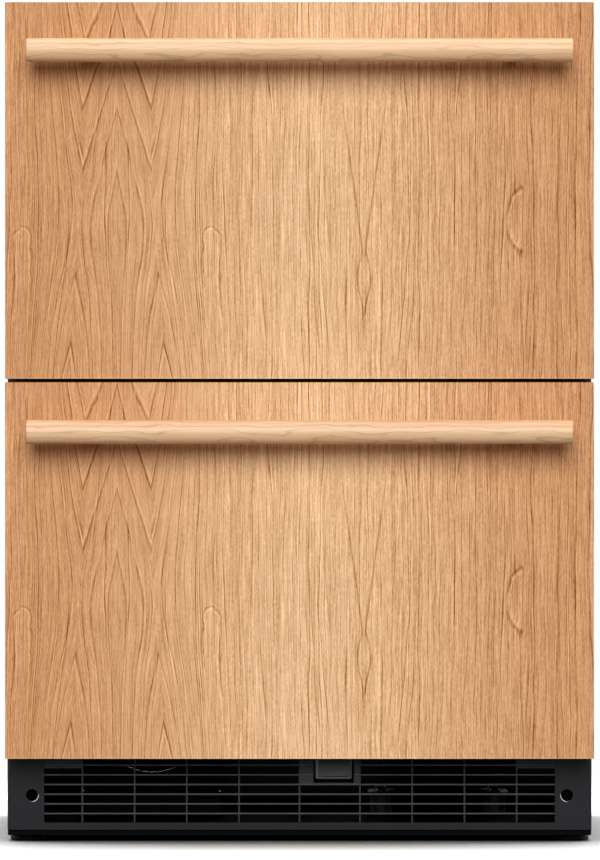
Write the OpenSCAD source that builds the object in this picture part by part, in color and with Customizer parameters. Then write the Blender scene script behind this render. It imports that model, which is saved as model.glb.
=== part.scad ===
// Undercounter drawer refrigerator: an insulated cabinet on four levelling feet, two drawers
// with veneered overlay fronts and bar handles, and a front-vented machine compartment.
// Millimetres, +Z up, the front faces -Y, origin on the floor under the middle of the object.

/* [Cabinet] */
// Width of the steel cabinet
case_w = 604; // [570:1:640]
// Depth of the steel cabinet, from its front frame to its back panel
case_d = 535; // [520:1:600]
// Height of the lower front's bottom edge above the floor
toe_h = 87.5; // [84:0.5:110]
// Drop of the cabinet top below the top of the upper front
case_drop = 2; // [2:0.5:8]
// Thickness of the steel sheet
sheet_t = 1; // [0.6:0.1:1.5]
// Thickness of the foam insulation
foam_t = 31; // [26:1:40]
// Thickness of the plastic liner
liner_t = 2; // [1.5:0.1:3]
// Height of the rail between the two compartments
mullion_h = 52; // [48:1:70]
// Depth of the rail between the two compartments
mullion_d = 40; // [20:1:60]
// Depth of the machine room at the back
machine_d = 172; // [168:1:190]
// Drop of the deck under the compartments below the lower front's bottom edge
deck_drop = 2.5; // [2:0.5:8]

/* [Drawer fronts] */
// Width of a veneered front panel
panel_w = 605; // [590:1:640]
// Height of a veneered front panel
panel_h = 387; // [375:1:420]
// Thickness of a veneered front panel
panel_t = 19; // [16:1:25]
// Gap between the two front panels
panel_gap = 3.5; // [3:0.5:6]
// Thickness of the insulated door behind a panel
door_t = 34; // [28:1:45]
// Margin of the door inside the panel's top and bottom edges
door_inset = 4; // [4:0.5:8]
// Margin of the door inside the cabinet's sides
door_margin = 3.5; // [2:0.5:8]
// Thickness of the door's steel skin
skin_t = 0.8; // [0.6:0.1:1.2]
// Depth of the door liner's raised plug
plug_d = 14; // [12:1:20]
// Gap around the plug in the cabinet's opening
plug_gap = 6; // [4:0.5:10]
// Thickness of the magnetic door seal, panel side to cabinet side
seal_t = 8; // [6:0.5:10]
// Width of the magnetic door seal
seal_w = 16; // [12:1:18]
// Margin of the seal inside the door's edges
seal_inset = 4; // [3:0.5:6]

/* [Handles] */
// Length of a handle bar
handle_l = 558; // [400:1:580]
// Diameter of a handle bar
handle_d = 25; // [20:0.5:30]
// Distance of the bar's axis below the top of its panel
handle_drop = 51.5; // [40:0.5:80]
// Distance of the bar's axis in front of its panel
handle_stand = 38; // [34:1:50]
// Distance of the bar's planed underside from its axis
handle_flat = 11.6; // [9:0.1:12]
// Distance of the bar's planed back from its axis
handle_seat = 9.5; // [8:0.1:10]
// Radius of the rounding at the bar's ends
handle_end_r = 4; // [1:0.5:6]
// Diameter of a handle post
post_d = 16; // [12:0.5:20]
// Distance of a post's axis from the end of the bar
post_inset = 62; // [30:1:120]
// Diameter of a handle screw's shank
handle_screw_d = 5; // [4:0.5:6]
// Depth that a handle screw reaches into its post
handle_screw_grip = 20; // [12:1:24]

/* [Drawers] */
// Gap between the upper bin and the evaporator's cover behind it
upper_bin_gap = 30; // [10:1:150]
// Gap between the lower bin and the machine room's step behind it
lower_bin_gap = 11; // [8:1:100]
// Gap between the upper bin and the control panel above it
upper_headroom = 22.5; // [10:0.5:100]
// Gap between the lower bin and the light bar above it
lower_headroom = 44; // [10:0.5:120]
// Thickness of a bin's walls
bin_t = 2.5; // [2:0.1:3]
// Radius of a bin's upright corners
bin_r = 18; // [8:1:30]
// Height of a bin's floor above the bottom of its compartment
bin_lift = 10; // [8:1:14]
// Width of the rim round the top of a bin
rim_w = 7; // [5:0.5:9]
// Thickness of that rim
rim_t = 3; // [2:0.5:5]
// Thickness of a bin divider
divider_t = 4; // [3:0.5:6]

/* [Slides] */
// Height of a drawer slide
slide_h = 46; // [40:1:55]
// Width of a drawer slide, wall to bin
slide_w = 12.7; // [12:0.1:14]
// Thickness of the slide's steel
slide_t = 1.5; // [1.2:0.1:1.6]
// Gap that the slide's balls run in
ball_gap = 3.2; // [2.5:0.1:3.5]
// Height of a slide's middle above the bottom of its bin
slide_lift = 42; // [35:1:80]
// Distance of a slide's ends inside the ends of its bin
slide_margin = 5; // [3:1:30]

/* [Toe grille] */
// Distance of the grille's face behind the face of the front panels
grille_setback = 50; // [46:1:54]
// Height of the grille's bottom edge above the floor
grille_lift = 12.2; // [12:0.1:16]
// Thickness of the grille's walls
grille_t = 3; // [2:0.5:4]
// Height of the lowest opening above the grille's bottom edge
grille_sill = 7.4; // [5:0.1:12]
// Distance between two slats
slat_pitch = 10; // [9:0.5:12]
// Thickness of a slat at its nose
slat_t = 1.5; // [1.2:0.1:2.5]
// Depth of a slat
slat_d = 9; // [6:0.5:10]
// Thickness of an upright rib
rib_t = 1.5; // [1.2:0.1:2.5]
// Width of each of the two middle bays
mid_bay = 62.5; // [55:0.5:65]
// Width of the bays beside them
bay = 54; // [48:0.5:54]
// Number of those bays on each side
bay_n = 3; // [2:1:3]
// Width of the solid end of the grille
grille_end = 38; // [36:1:50]
// Diameter of the screw holes in the grille's ends
well_d = 13; // [10:0.5:16]
// Distance of a screw hole's axis from the grille's end
well_inset = 25.5; // [20:0.5:28]
// Height of a screw hole's axis above the grille's bottom edge
well_lift = 35.7; // [30:0.1:45]
// Diameter of a grille screw's shank
grille_screw_d = 4; // [3:0.5:5]

/* [Power switch] */
// Width of the switch's bezel
switch_w = 37; // [30:1:39]
// Height of the switch's bezel
switch_h = 22; // [18:0.5:22]
// Width of the bezel's frame round the rocker
switch_frame = 2.2; // [2:0.1:4]
// Sideways offset of the rocker in its bezel
rocker_shift = 1; // [0:0.1:1.2]
// Width of the niche that the switch sits in
niche_w = 42; // [40:1:46]
// Distance of the switch's face behind the grille's face
switch_sink = 3.5; // [3:0.5:5]
// Height of the switch above the niche's floor
switch_lift = 4.2; // [2:0.1:4.2]

/* [Controls and lights] */
// Width of the control panel in the upper compartment
fascia_w = 300; // [240:5:400]
// Height of the control panel
fascia_h = 24; // [20:1:30]
// Depth of the control panel
fascia_d = 36; // [25:1:60]
// Diameter of a control button
button_d = 14; // [10:0.5:16]
// Distance that a button stands proud and can be pressed
button_travel = 1.2; // [1:0.1:2]
// Distance of the buttons from the middle of the control panel
button_x = 60; // [50:1:100]
// Width of the display's window
display_w = 64; // [40:1:80]
// Height of the display's window
display_h = 13; // [8:0.5:16]
// Length of a light bar
light_l = 260; // [150:5:400]

/* [Feet] */
// Diameter of a foot's pad
foot_d = 36; // [30:1:38]
// Height of a foot's pad
foot_h = 5.8; // [5:0.1:8]
// Diameter of a foot's threaded stud
stud_d = 10; // [8:1:12]
// Distance of a foot's axis from the cabinet's side
foot_inset = 20; // [20:1:40]
// Distance of a foot's axis from the cabinet's front or back
foot_back = 30; // [26:1:60]
// Travel of a foot when it is screwed out
foot_travel = 20; // [10:1:25]
// Height of the nut that a foot's stud turns in
nut_h = 12; // [8:1:16]

/* [Cooling] */
// Width of the condenser's fins
condenser_w = 150; // [120:1:170]
// Gap between the condenser's fins and the machine room's roof
condenser_headroom = 33.5; // [30:0.5:60]
// Depth of the condenser's fins
condenser_d = 34; // [24:1:40]
// Radius of the condenser fan's blades
fan_r = 60; // [45:1:64]
// Radius of the compressor's shell
compressor_r = 60; // [50:1:66]
// Height of the compressor's shell
compressor_h = 140; // [120:1:165]
// Gap between the compressor's shell and the machine room's roof
compressor_headroom = 42.5; // [40:0.5:60]
// Width of the evaporator's cover
evap_w = 400; // [360:5:460]
// Height of the evaporator's cover
evap_h = 250; // [240:1:280]
// Depth of the evaporator's cover
evap_d = 48; // [44:1:55]
// Radius of the evaporator fan's blades
evap_fan_r = 38; // [28:1:42]
// Outer diameter of the refrigerant pipes
pipe_d = 8; // [6:0.5:9]

/* [Mounting] */
// Distance between the two screw holes of a worktop bracket
bracket_pitch = 40; // [25:1:60]
// Diameter of those screw holes
bracket_hole_d = 5.5; // [4.5:0.1:6.5]
// Distance of those screw holes in front of the cabinet
bracket_reach = 20; // [12:1:30]
// Distance of a worktop bracket's middle from the cabinet's side
bracket_inset = 90; // [50:1:150]
// Diameter of the hole in the power cord's gland
gland_hole_d = 9; // [7:0.5:11]

/* [Hidden] */
$fn = 48;

// Clearances: between pieces that are pressed or laid together, and between those that turn.
fit = 0.3;
run_fit = 0.08;

// Depths behind the front panels' face, and the plane of that face in the object's frame.
case_s = panel_t + door_t + seal_t;
back_s = case_s + case_d;
total_d = handle_stand + handle_d / 2 + back_s;
panel_y = -total_d / 2 + handle_stand + handle_d / 2;
function y_at(s) = panel_y + s;
case_y = y_at(case_s);
back_y = y_at(back_s);

// Base pan, its feet, and the compressor that stands on it. They set the machine room's height.
pan_t = 1.5;
pan_gap = 0.7;
pan_lip = 14;
base_z = foot_h + pan_gap;
foot_x = case_w / 2 - foot_inset;
foot_ys = [case_y + foot_back, back_y - foot_back];
nut_r = stud_d / 2 + 4;
stud_spare = 10;
stud_l = nut_h + foot_travel + stud_spare;
grommet_h = 21.5;
grommet_x = 62;
grommet_y = 48;
grommet_r = 11;
grommet_neck_r = 6;
grommet_neck_h = 5;
grommet_bolt_r = 4;
grommet_bolt_over = 3;
plate_t = 3;
plate_edge = 14;
compressor_z = base_z + pan_t + grommet_h + plate_t;
machine_h = compressor_z + compressor_h + compressor_headroom;

// Heights.
upper_z = toe_h + panel_h + panel_gap;
case_top = upper_z + panel_h - case_drop;
mid_z = toe_h + panel_h + panel_gap / 2;
deck_z = toe_h - deck_drop;
floor_z = deck_z + foam_t + liner_t;
ceiling_z = case_top - sheet_t - foam_t - liner_t;

// The compartments' opening and the liner's inner faces.
inside_x = case_w / 2 - sheet_t;
open_x = inside_x - foam_t - liner_t;
liner_back_y = back_y - sheet_t - foam_t - liner_t;
machine_y = back_y - sheet_t - machine_d;
hump_y = machine_y - foam_t - liner_t;
hump_z = machine_h + foam_t + liner_t;
upper_opening = [mid_z + mullion_h / 2, ceiling_z];
lower_opening = [floor_z, mid_z - mullion_h / 2];
mullion_t = 1.5;
mullion_r = 2.5;

// Controls and lights.
fascia_gap = 5;
fascia_y = case_y + plug_d - seal_t + fascia_gap;
fascia_z = ceiling_z - fascia_h;
lens_t = 1.5;
lens_proud = 0.2;
button_l = 4.5;
button_play = 0.2;
light_h = 8;
light_d = 14;
light_gap = 3;

// Drawers: bins, slides and dividers.
bin_x = open_x - slide_w;
bin_y = y_at(panel_t + door_t + plug_d);
upper_bin_z = upper_opening[0] + bin_lift;
lower_bin_z = lower_opening[0] + bin_lift;
upper_bin_l = liner_back_y - evap_d - upper_bin_gap - rim_w - bin_y;
lower_bin_l = hump_y - lower_bin_gap - rim_w - bin_y;
upper_bin_h = fascia_z - upper_headroom - upper_bin_z;
lower_bin_h = lower_opening[1] - light_h - lower_headroom - lower_bin_z;
upper_slide_l = upper_bin_l - 2 * slide_margin;
lower_slide_l = lower_bin_l - 2 * slide_margin;
slide_y = bin_y + slide_margin;
slide_play = 1;
channel_gap = 2.2;
middle_gap = 2.4;
inner_gap = 1.4;
divider_play = 0.6;
divider_gap = 1;
hook_l = 30;
hook_t = 2.7;
hook_w = 2.2;
screw_head_h = 3.5;
counterbore_d = 5;

// Half heights of the nested slide members.
hh_outer = slide_h / 2;
hh_middle = hh_outer - slide_t - ball_gap;
hh_inner = hh_middle - slide_t - ball_gap;

// Toe grille.
grille_cover = 1;
grille_top = toe_h + door_inset - grille_cover;
window_top = grille_top - grille_t;
grille_y = y_at(grille_setback);
grille_r = 3;
slat_z0 = grille_lift + grille_sill;
slat_n = floor((window_top - slat_z0) / slat_pitch);
end_window_top = slat_z0 + (slat_n - 0.4) * slat_pitch;
window_x = case_w / 2 - grille_end;
bay_xs = [for (i = [0:bay_n]) mid_bay + i * bay];
rib_sink = 0.8;
rib_d = 7.2;
well_x = case_w / 2 - well_inset;
well_z = grille_lift + well_lift;
well_wall = 2.5;
well_floor = 3;
tab_top = 12;

// Power switch in its niche.
niche_sill = 1;
niche_shift = 4;
switch_room = switch_h + switch_lift + niche_sill + 0.5;
switch_row = floor((window_top - slat_z0 - switch_room) / slat_pitch);
switch_plate_z = slat_z0 + switch_row * slat_pitch;
niche_x = mid_bay / 2 + niche_shift;
niche_z = switch_plate_z + niche_sill;
switch_y = grille_y + switch_sink;
switch_z = niche_z + switch_lift;
switch_tail = 14;
bezel_r = 1.5;
rocker_w = switch_w - 2 * switch_frame;
rocker_h = switch_h - 2 * switch_frame;
rocker_r = 2.6;
rocker_t = 3.4;
rocker_play = 0.35;
rocker_tilt = 6;
rocker_axis_d = 5;
rocker_axis_y = switch_y + rocker_axis_d;
rocker_axis_z = switch_z + switch_h / 2;
pin_r = 1.5;
pin_grip = 0.5;

// Condenser, its shroud, fan and motor, one behind the other.
condenser_x = -inside_x / 2 - 10;
condenser_gap = 4;
condenser_lift = 45;
condenser_y = machine_y + condenser_gap;
condenser_z = base_z + condenser_lift;
condenser_h = machine_h - condenser_headroom - condenser_z;
condenser_rows = 5;
condenser_pitch = 9;
shroud_y = condenser_y + condenser_d + condenser_gap;
shroud_t = 3;
shroud_edge = 12;
ring_gap = 3;
ring_t = 3;
ring_d = 14;
arm_w = 6;
arm_t = 4;
fan_z = condenser_z + condenser_h / 2;
fan_y = shroud_y + shroud_t + 1;
fan_d = 14;
motor_y = fan_y + fan_d + 4;
motor_r = 24;
motor_l = 30;
motor_shaft_r = 2.5;
drain_h = 26;
drain_t = 2;

// Compressor.
compressor_x = inside_x / 2;
compressor_y = back_y - machine_d / 2;
stub_h = 8;
stub_wall = 1.5;
discharge_at = [20, -20];
suction_at = [-30, 0];

// Evaporator behind its cover.
evap_drop = 15;
evap_z = ceiling_z - evap_drop - evap_h;
evap_y = liner_back_y - evap_d;
evap_t = 2.5;
evap_fan_edge = 22;
evap_fan_z = evap_z + evap_h - evap_fan_r - evap_fan_edge;
evap_motor_y = evap_y + 20;
evap_motor_r = 17;
evap_shaft_r = 1.5;
coil_d = 26;
coil_gap = 12;
coil_side = 50;
coil_headroom = 20;
guard_min = 10;
coil_pitch = 12;
fin_t = 1;
end_plate_t = 1.5;

// Pipes.
pipe_bend = 14;
cap_r = 2;
drier_r = 10;
drier_h = 70;
run_z = machine_h - sheet_t - pipe_bend - 1;
suction_x = compressor_x + suction_at[0];
suction_y = back_y - sheet_t - foam_t / 2;
suction_z = evap_z + 40;

// Power cord's gland, behind the compressor, and the worktop brackets.
gland_x = compressor_x;
gland_z = base_z + 34;
gland_wall = 3.5;
gland_flange = 3;
gland_l = 10;
bracket_t = 1.5;
bracket_edge = 10;
bracket_hold = 40;
bracket_r = 5;

// ---- Helpers -------------------------------------------------------------------------------

// A box from ranges along the three axes.
module block(x, y, z) {
    translate([x[0], y[0], z[0]]) cube([x[1] - x[0], y[1] - y[0], z[1] - z[0]]);
}

// Extrudes an XZ outline along Y.
module along_y(y0, y1) {
    translate([0, y1, 0]) rotate([90, 0, 0]) linear_extrude(y1 - y0) children();
}

// Extrudes a YZ outline along X.
module along_x(x0, x1) {
    translate([x0, 0, 0]) rotate([90, 0, 90]) linear_extrude(x1 - x0) children();
}

// A cylinder along Y.
module rod_y(r, y0, y1) {
    translate([0, y1, 0]) rotate([90, 0, 0]) cylinder(r = r, h = y1 - y0);
}

// Points of a rectangle with rounded corners.
function rounded(x0, x1, y0, y1, r, steps = 6) = [
    for (c = [0:3], i = [0:steps])
        let (
            a = 90 * c + 90 * i / steps,
            cx = (c == 0 || c == 3) ? x1 - r : x0 + r,
            cy = (c < 2) ? y1 - r : y0 + r
        )
        [cx + r * cos(a), cy + r * sin(a)]
];

// The same piece on the left and on the right.
module both_sides() {
    for (side = [0, 1]) mirror([side, 0, 0]) children();
}

function unit(v) = v / norm(v);

// Frame with the given X, Y and Z directions, at a point.
module framed(x, y, z, at) {
    multmatrix([
        [x[0], y[0], z[0], at[0]],
        [x[1], y[1], z[1], at[1]],
        [x[2], y[2], z[2], at[2]],
        [0, 0, 0, 1]
    ]) children();
}

// Length of a pipe's leg, and the radius of the bend at a point, limited by the legs beside it.
function leg(points, i) = norm(points[i + 1] - points[i]);
function bend_at(points, i, bend) =
    let (last = len(points) - 1)
    (i == 0 || i == last) ? 0 :
    min(bend, leg(points, i - 1) * (i == 1 ? 1 : 0.5), leg(points, i) * (i == last - 1 ? 1 : 0.5));

// A pipe through points that are joined by lines along the axes, with rounded bends.
module pipe(points, r, bend) {
    last = len(points) - 1;
    for (i = [0:last - 1]) {
        d = unit(points[i + 1] - points[i]);
        a = points[i] + bend_at(points, i, bend) * d;
        b = points[i + 1] - bend_at(points, i + 1, bend) * d;
        side = abs(d[2]) > 0.5 ? [1, 0, 0] : [0, 0, 1];
        if (norm(b - a) > 0.01) framed(side, cross(d, side), d, a) cylinder(r = r, h = norm(b - a));
    }
    for (i = [1:1:last - 1]) {
        turn_r = bend_at(points, i, bend);
        d1 = unit(points[i] - points[i - 1]);
        d2 = unit(points[i + 1] - points[i]);
        framed(-d2, d1, cross(-d2, d1), points[i] - turn_r * d1 + turn_r * d2)
            rotate_extrude(angle = 90) translate([turn_r, 0]) circle(r = r);
    }
}

// A block of upright fins with a pipe that winds up through them. Its corner is at the origin.
module fin_coil(w, d, h, passes, fin_pitch) {
    row = h / passes;
    over = row / 2 + 2;
    for (i = [0:floor(w / fin_pitch) - 1])
        block([i * fin_pitch, i * fin_pitch + fin_t], [0, d], [0, h]);
    path = [
        for (i = [0:passes - 1], k = [0, 1])
            let (left = (i + k) % 2 == 0)
            [left ? -over : w + over, d / 2, row * (i + 0.5)]
    ];
    last = len(path) - 1;
    pipe(concat([path[0] + [over - 12, 0, 0]], [for (i = [1:last - 1]) path[i]],
        [path[last] + [over * (passes % 2 == 0 ? 1 : -1), 0, 0]]), pipe_d / 2, row / 2);
}

// ---- Cabinet -------------------------------------------------------------------------------

// Steel wrapper: top and two sides from one sheet, with a front frame turned in round the opening.
module outer_case() {
    color("dimgray") {
        both_sides() block([inside_x, case_w / 2], [case_y, back_y], [base_z, case_top]);
        block([-inside_x, inside_x], [case_y, back_y], [case_top - sheet_t, case_top]);
        difference() {
            block([-inside_x, inside_x], [case_y, case_y + sheet_t], [deck_z - sheet_t, case_top - sheet_t]);
            block([-open_x, open_x], [case_y - 1, case_y + sheet_t + 1], [floor_z, ceiling_z]);
        }
    }
}

// Flat steel back above the machine room.
module back_panel() {
    color("gray")
        block([-inside_x, inside_x], [back_y - sheet_t, back_y], [machine_h, case_top - sheet_t]);
}

// Steel tray that carries the machine parts, the feet's nuts and the grille's brackets.
module base_pan() {
    pan_y = [case_y, back_y - sheet_t];
    rail_y = grille_y + 2;
    bolt_h = pan_t + grommet_h + grommet_neck_h + grommet_bolt_over;
    color("dimgray") difference() {
        union() {
            block([-inside_x, inside_x], pan_y, [base_z, base_z + pan_t]);
            both_sides() {
                block([inside_x - pan_t, inside_x], pan_y, [base_z, base_z + pan_lip]);
                block([window_x + 0.5, inside_x], [case_y, case_y + pan_t], [base_z, well_z + tab_top]);
            }
            block([-inside_x, inside_x], [pan_y[1] - pan_t, pan_y[1]], [base_z, base_z + pan_lip]);
            block([-inside_x, inside_x], [rail_y, case_y], [base_z, grille_lift - pan_gap]);
            for (x = [-foot_x, foot_x], y = foot_ys)
                translate([x, y, base_z]) cylinder(r = nut_r, h = nut_h);
            for (x = [-grommet_x, grommet_x], y = [-grommet_y, grommet_y])
                translate([compressor_x + x, compressor_y + y, base_z])
                    cylinder(r = grommet_bolt_r, h = bolt_h);
        }
        for (x = [-foot_x, foot_x], y = foot_ys)
            translate([x, y, base_z - 1]) cylinder(r = stud_d / 2 + run_fit, h = nut_h + 2);
        both_sides() translate([well_x, 0, well_z])
            rod_y(grille_screw_d / 2 + run_fit, case_y - 1, case_y + pan_t + 1);
    }
}

// Outline of the floor under the insulation: flat in front, and up over the machine room.
function deck_line(y_back) = [
    [case_y + sheet_t, deck_z], [machine_y, deck_z], [machine_y, machine_h], [y_back, machine_h]
];

// Steel deck between the machine room and the insulation.
module deck_plate() {
    y_end = back_y - sheet_t;
    color("lightgray") difference() {
        along_x(-inside_x, inside_x) polygon(concat(deck_line(y_end), [
            [y_end, machine_h - sheet_t], [machine_y + sheet_t, machine_h - sheet_t],
            [machine_y + sheet_t, deck_z - sheet_t], [case_y + sheet_t, deck_z - sheet_t]
        ]));
        translate([suction_x, suction_y, machine_h - sheet_t - 1])
            cylinder(r = pipe_d / 2 + fit, h = sheet_t + 2);
    }
}

// Outline of the compartments, grown outwards by a thickness.
function liner_line(grow, y_front) = [
    [y_front, floor_z - grow], [hump_y + grow, floor_z - grow],
    [hump_y + grow, hump_z - grow], [liner_back_y + grow, hump_z - grow],
    [liner_back_y + grow, ceiling_z + grow], [y_front, ceiling_z + grow]
];

// Hole for the suction pipe, through foam and liner.
module suction_hole() {
    pipe([[suction_x, suction_y, machine_h - 5], [suction_x, suction_y, suction_z],
        [suction_x, liner_back_y - 5, suction_z]], pipe_d / 2 + fit, pipe_bend);
}

// Foam between the steel outside and the plastic liner.
module foam_insulation() {
    y0 = case_y + sheet_t;
    y1 = back_y - sheet_t;
    z1 = case_top - sheet_t;
    color("khaki") difference() {
        along_x(-inside_x, inside_x)
            polygon(concat(deck_line(y1), [[y1, z1], [y0, z1]]));
        along_x(-open_x - liner_t, open_x + liner_t) polygon(liner_line(liner_t, y0 - 1));
        suction_hole();
    }
}

// White moulded liner of both compartments, stepped over the machine room.
module inner_liner() {
    color("white") difference() {
        along_x(-open_x - liner_t, open_x + liner_t) polygon(liner_line(liner_t, case_y + sheet_t));
        along_x(-open_x, open_x) polygon(liner_line(0, case_y));
        suction_hole();
    }
}

// Outline of the mullion, shrunk by a wall.
function mullion_line(wall, r) = rounded(case_y + wall, case_y + mullion_d - wall,
    mid_z - mullion_h / 2 + wall, mid_z + mullion_h / 2 - wall, r);

// Hollow steel rail between the compartments, which both seals close on.
module mullion() {
    color("dimgray") difference() {
        along_x(-open_x, open_x) polygon(mullion_line(0, mullion_r));
        along_x(-open_x - 1, open_x + 1) polygon(mullion_line(mullion_t, mullion_r - mullion_t));
    }
}

// ---- Toe grille and power switch -----------------------------------------------------------

// Louvred toe grille: a shallow tray, open behind, with slats, ribs, screw wells and a switch plate.
module toe_grille() {
    face_y = grille_y + grille_t;
    rib_y = [grille_y + rib_sink, grille_y + rib_sink + rib_d];
    inner_x = bay_xs[bay_n];
    color("black") difference() {
        union() {
            difference() {
                translate([0, 0, grille_lift]) linear_extrude(grille_top - grille_lift)
                    polygon(rounded(-case_w / 2, case_w / 2, grille_y, case_y + 2 * grille_r, grille_r));
                block([-case_w, case_w], [case_y, case_y + 3 * grille_r], [0, grille_top + 1]);
                block([grille_t - case_w / 2, case_w / 2 - grille_t], [face_y, case_y + 1],
                    [grille_lift + grille_t, window_top]);
                block([-inner_x, inner_x], [grille_y - 1, face_y + 1], [slat_z0, window_top]);
                both_sides() block([inner_x, window_x], [grille_y - 1, face_y + 1],
                    [slat_z0, end_window_top]);
            }
            for (i = [1:slat_n]) {
                z = slat_z0 + i * slat_pitch - slat_t;
                reach = z + slat_t < end_window_top ? window_x : inner_x;
                block([-reach, reach], [grille_y, grille_y + slat_d], [z, z + slat_t]);
            }
            both_sides() for (x = concat([0], bay_xs))
                block([x - rib_t / 2, x + rib_t / 2], rib_y, [slat_z0 - 1, window_top + 1]);
            both_sides() translate([well_x, 0, well_z])
                rod_y(well_d / 2 + well_wall, grille_y + 1, case_y);
            block([0, mid_bay], [grille_y, face_y], [switch_plate_z - slat_t, window_top + 1]);
        }
        both_sides() translate([well_x, 0, well_z]) {
            rod_y(well_d / 2, grille_y - 1, case_y - well_floor);
            rod_y(grille_screw_d / 2 + run_fit, grille_y - 1, case_y + 1);
        }
        block([niche_x - niche_w / 2, niche_x + niche_w / 2], [grille_y - 1, case_y + 1],
            [niche_z, window_top]);
    }
}

// Two pan-head screws, sunk in the grille's wells and held by the base pan's brackets.
module grille_screws() {
    head_r = grille_screw_d;
    head_h = 2.6;
    slot_w = 1;
    slot_d = 1.2;
    head_y = case_y - well_floor - head_h;
    color("dimgray") both_sides() translate([well_x, 0, well_z]) difference() {
        union() {
            rod_y(head_r, head_y, head_y + head_h);
            rod_y(grille_screw_d / 2, head_y + head_h, case_y + 12);
        }
        for (turn = [0, 90]) rotate([0, turn, 0])
            block([-head_r * 0.6, head_r * 0.6], [head_y - 1, head_y + slot_d],
                [-slot_w / 2, slot_w / 2]);
    }
}

// Bezel and body of the power switch, standing in the grille's niche.
module switch_housing() {
    half = switch_w / 2;
    cavity_x = rocker_w / 2 + rocker_play;
    cavity_z = rocker_h / 2 + 2 * rocker_play;
    slot_z = 4.5;
    slot_end = case_y + 6;
    roof_z = deck_z - sheet_t - 1 - rocker_axis_z;
    color("black") translate([niche_x, 0, rocker_axis_z]) difference() {
        union() {
            along_y(switch_y, case_y - fit)
                polygon(rounded(-half, half, -switch_h / 2, switch_h / 2, bezel_r));
            block([-half, half], [case_y - 1, case_y + switch_tail], [0.5 - switch_h / 2, roof_z]);
        }
        translate([rocker_shift, 0, 0]) {
            block([-cavity_x, cavity_x], [switch_y - 1, case_y - 1.5], [-cavity_z, cavity_z]);
            block([-cavity_x, cavity_x], [switch_y - 1, slot_end], [-slot_z, slot_z]);
            translate([-cavity_x - pin_grip - 0.1, rocker_axis_y, 0]) rotate([0, 90, 0])
                cylinder(r = pin_r + run_fit, h = 2 * (cavity_x + pin_grip + 0.1));
        }
    }
}

// Rocker of the power switch, pressed in at the top, with a pivot pin at each side.
module switch_rocker() {
    rx = rocker_w / 2;
    rz = rocker_h / 2;
    pin_reach = rx + rocker_play + pin_grip;
    face = 0.6 - rocker_axis_d;
    back = face + rocker_t;
    color("dimgray") translate([niche_x + rocker_shift, rocker_axis_y, rocker_axis_z])
        rotate([-rocker_tilt, 0, 0]) {
            along_y(face, back) polygon(rounded(-rx, rx, -rz, rz, rocker_r));
            translate([-pin_reach, 0, 0]) rotate([0, 90, 0]) cylinder(r = pin_r, h = 2 * pin_reach);
            block([4 - rx, rx - 4], [back - 0.1, 1], [-2, 2]);
            block([-6, 6], [back - 0.1, 4], [-2.5, 2.5]);
        }
}

// ---- Controls and lights -------------------------------------------------------------------

// Control panel under the ceiling, with a window recess and two button wells.
module control_fascia() {
    zc = fascia_z + fascia_h / 2;
    well_d = button_l + 1.5;
    color("silver") difference() {
        along_x(-fascia_w / 2, fascia_w / 2) polygon([
            [fascia_y, fascia_z], [fascia_y + fascia_d, fascia_z + fascia_h / 2],
            [fascia_y + fascia_d, ceiling_z], [fascia_y, ceiling_z]
        ]);
        block([-display_w / 2, display_w / 2], [fascia_y - 1, fascia_y + lens_t],
            [zc - display_h / 2, zc + display_h / 2]);
        both_sides() translate([button_x, 0, zc])
            rod_y(button_d / 2 + button_play, fascia_y - 1, fascia_y + well_d);
    }
}

// Window over the temperature display.
module display_lens() {
    zc = fascia_z + fascia_h / 2;
    half_w = display_w / 2 - fit / 2;
    half_h = display_h / 2 - fit / 2;
    color("black") block([-half_w, half_w], [fascia_y - lens_proud, fascia_y + lens_t],
        [zc - half_h, zc + half_h]);
}

// One push button of the control panel.
module control_button(x) {
    color("white") translate([x, 0, fascia_z + fascia_h / 2])
        rod_y(button_d / 2, fascia_y - button_travel, fascia_y + button_l);
}

// A light bar at each compartment's ceiling.
module light_bars() {
    upper_y = fascia_y + fascia_d + light_gap;
    lower_top = lower_opening[1];
    color("white") {
        block([-light_l / 2, light_l / 2], [upper_y, upper_y + light_d],
            [ceiling_z - light_h, ceiling_z]);
        block([-light_l / 2, light_l / 2], [fascia_y, fascia_y + light_d],
            [lower_top - light_h, lower_top]);
    }
}

// ---- Cooling system ------------------------------------------------------------------------

// Fin coil behind its cover in the upper compartment.
module evaporator_coil() {
    w = evap_w - 2 * coil_side;
    h = evap_fan_z - evap_fan_r - evap_z - coil_headroom;
    color("silver") translate([-w / 2, evap_y + coil_gap, evap_z + coil_gap]) {
        fin_coil(w, coil_d, h, 4, coil_pitch);
        for (x = [-2 * end_plate_t, w + end_plate_t])
            block([x, x + end_plate_t], [0, evap_d - coil_gap], [0, h]);
    }
}

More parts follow.
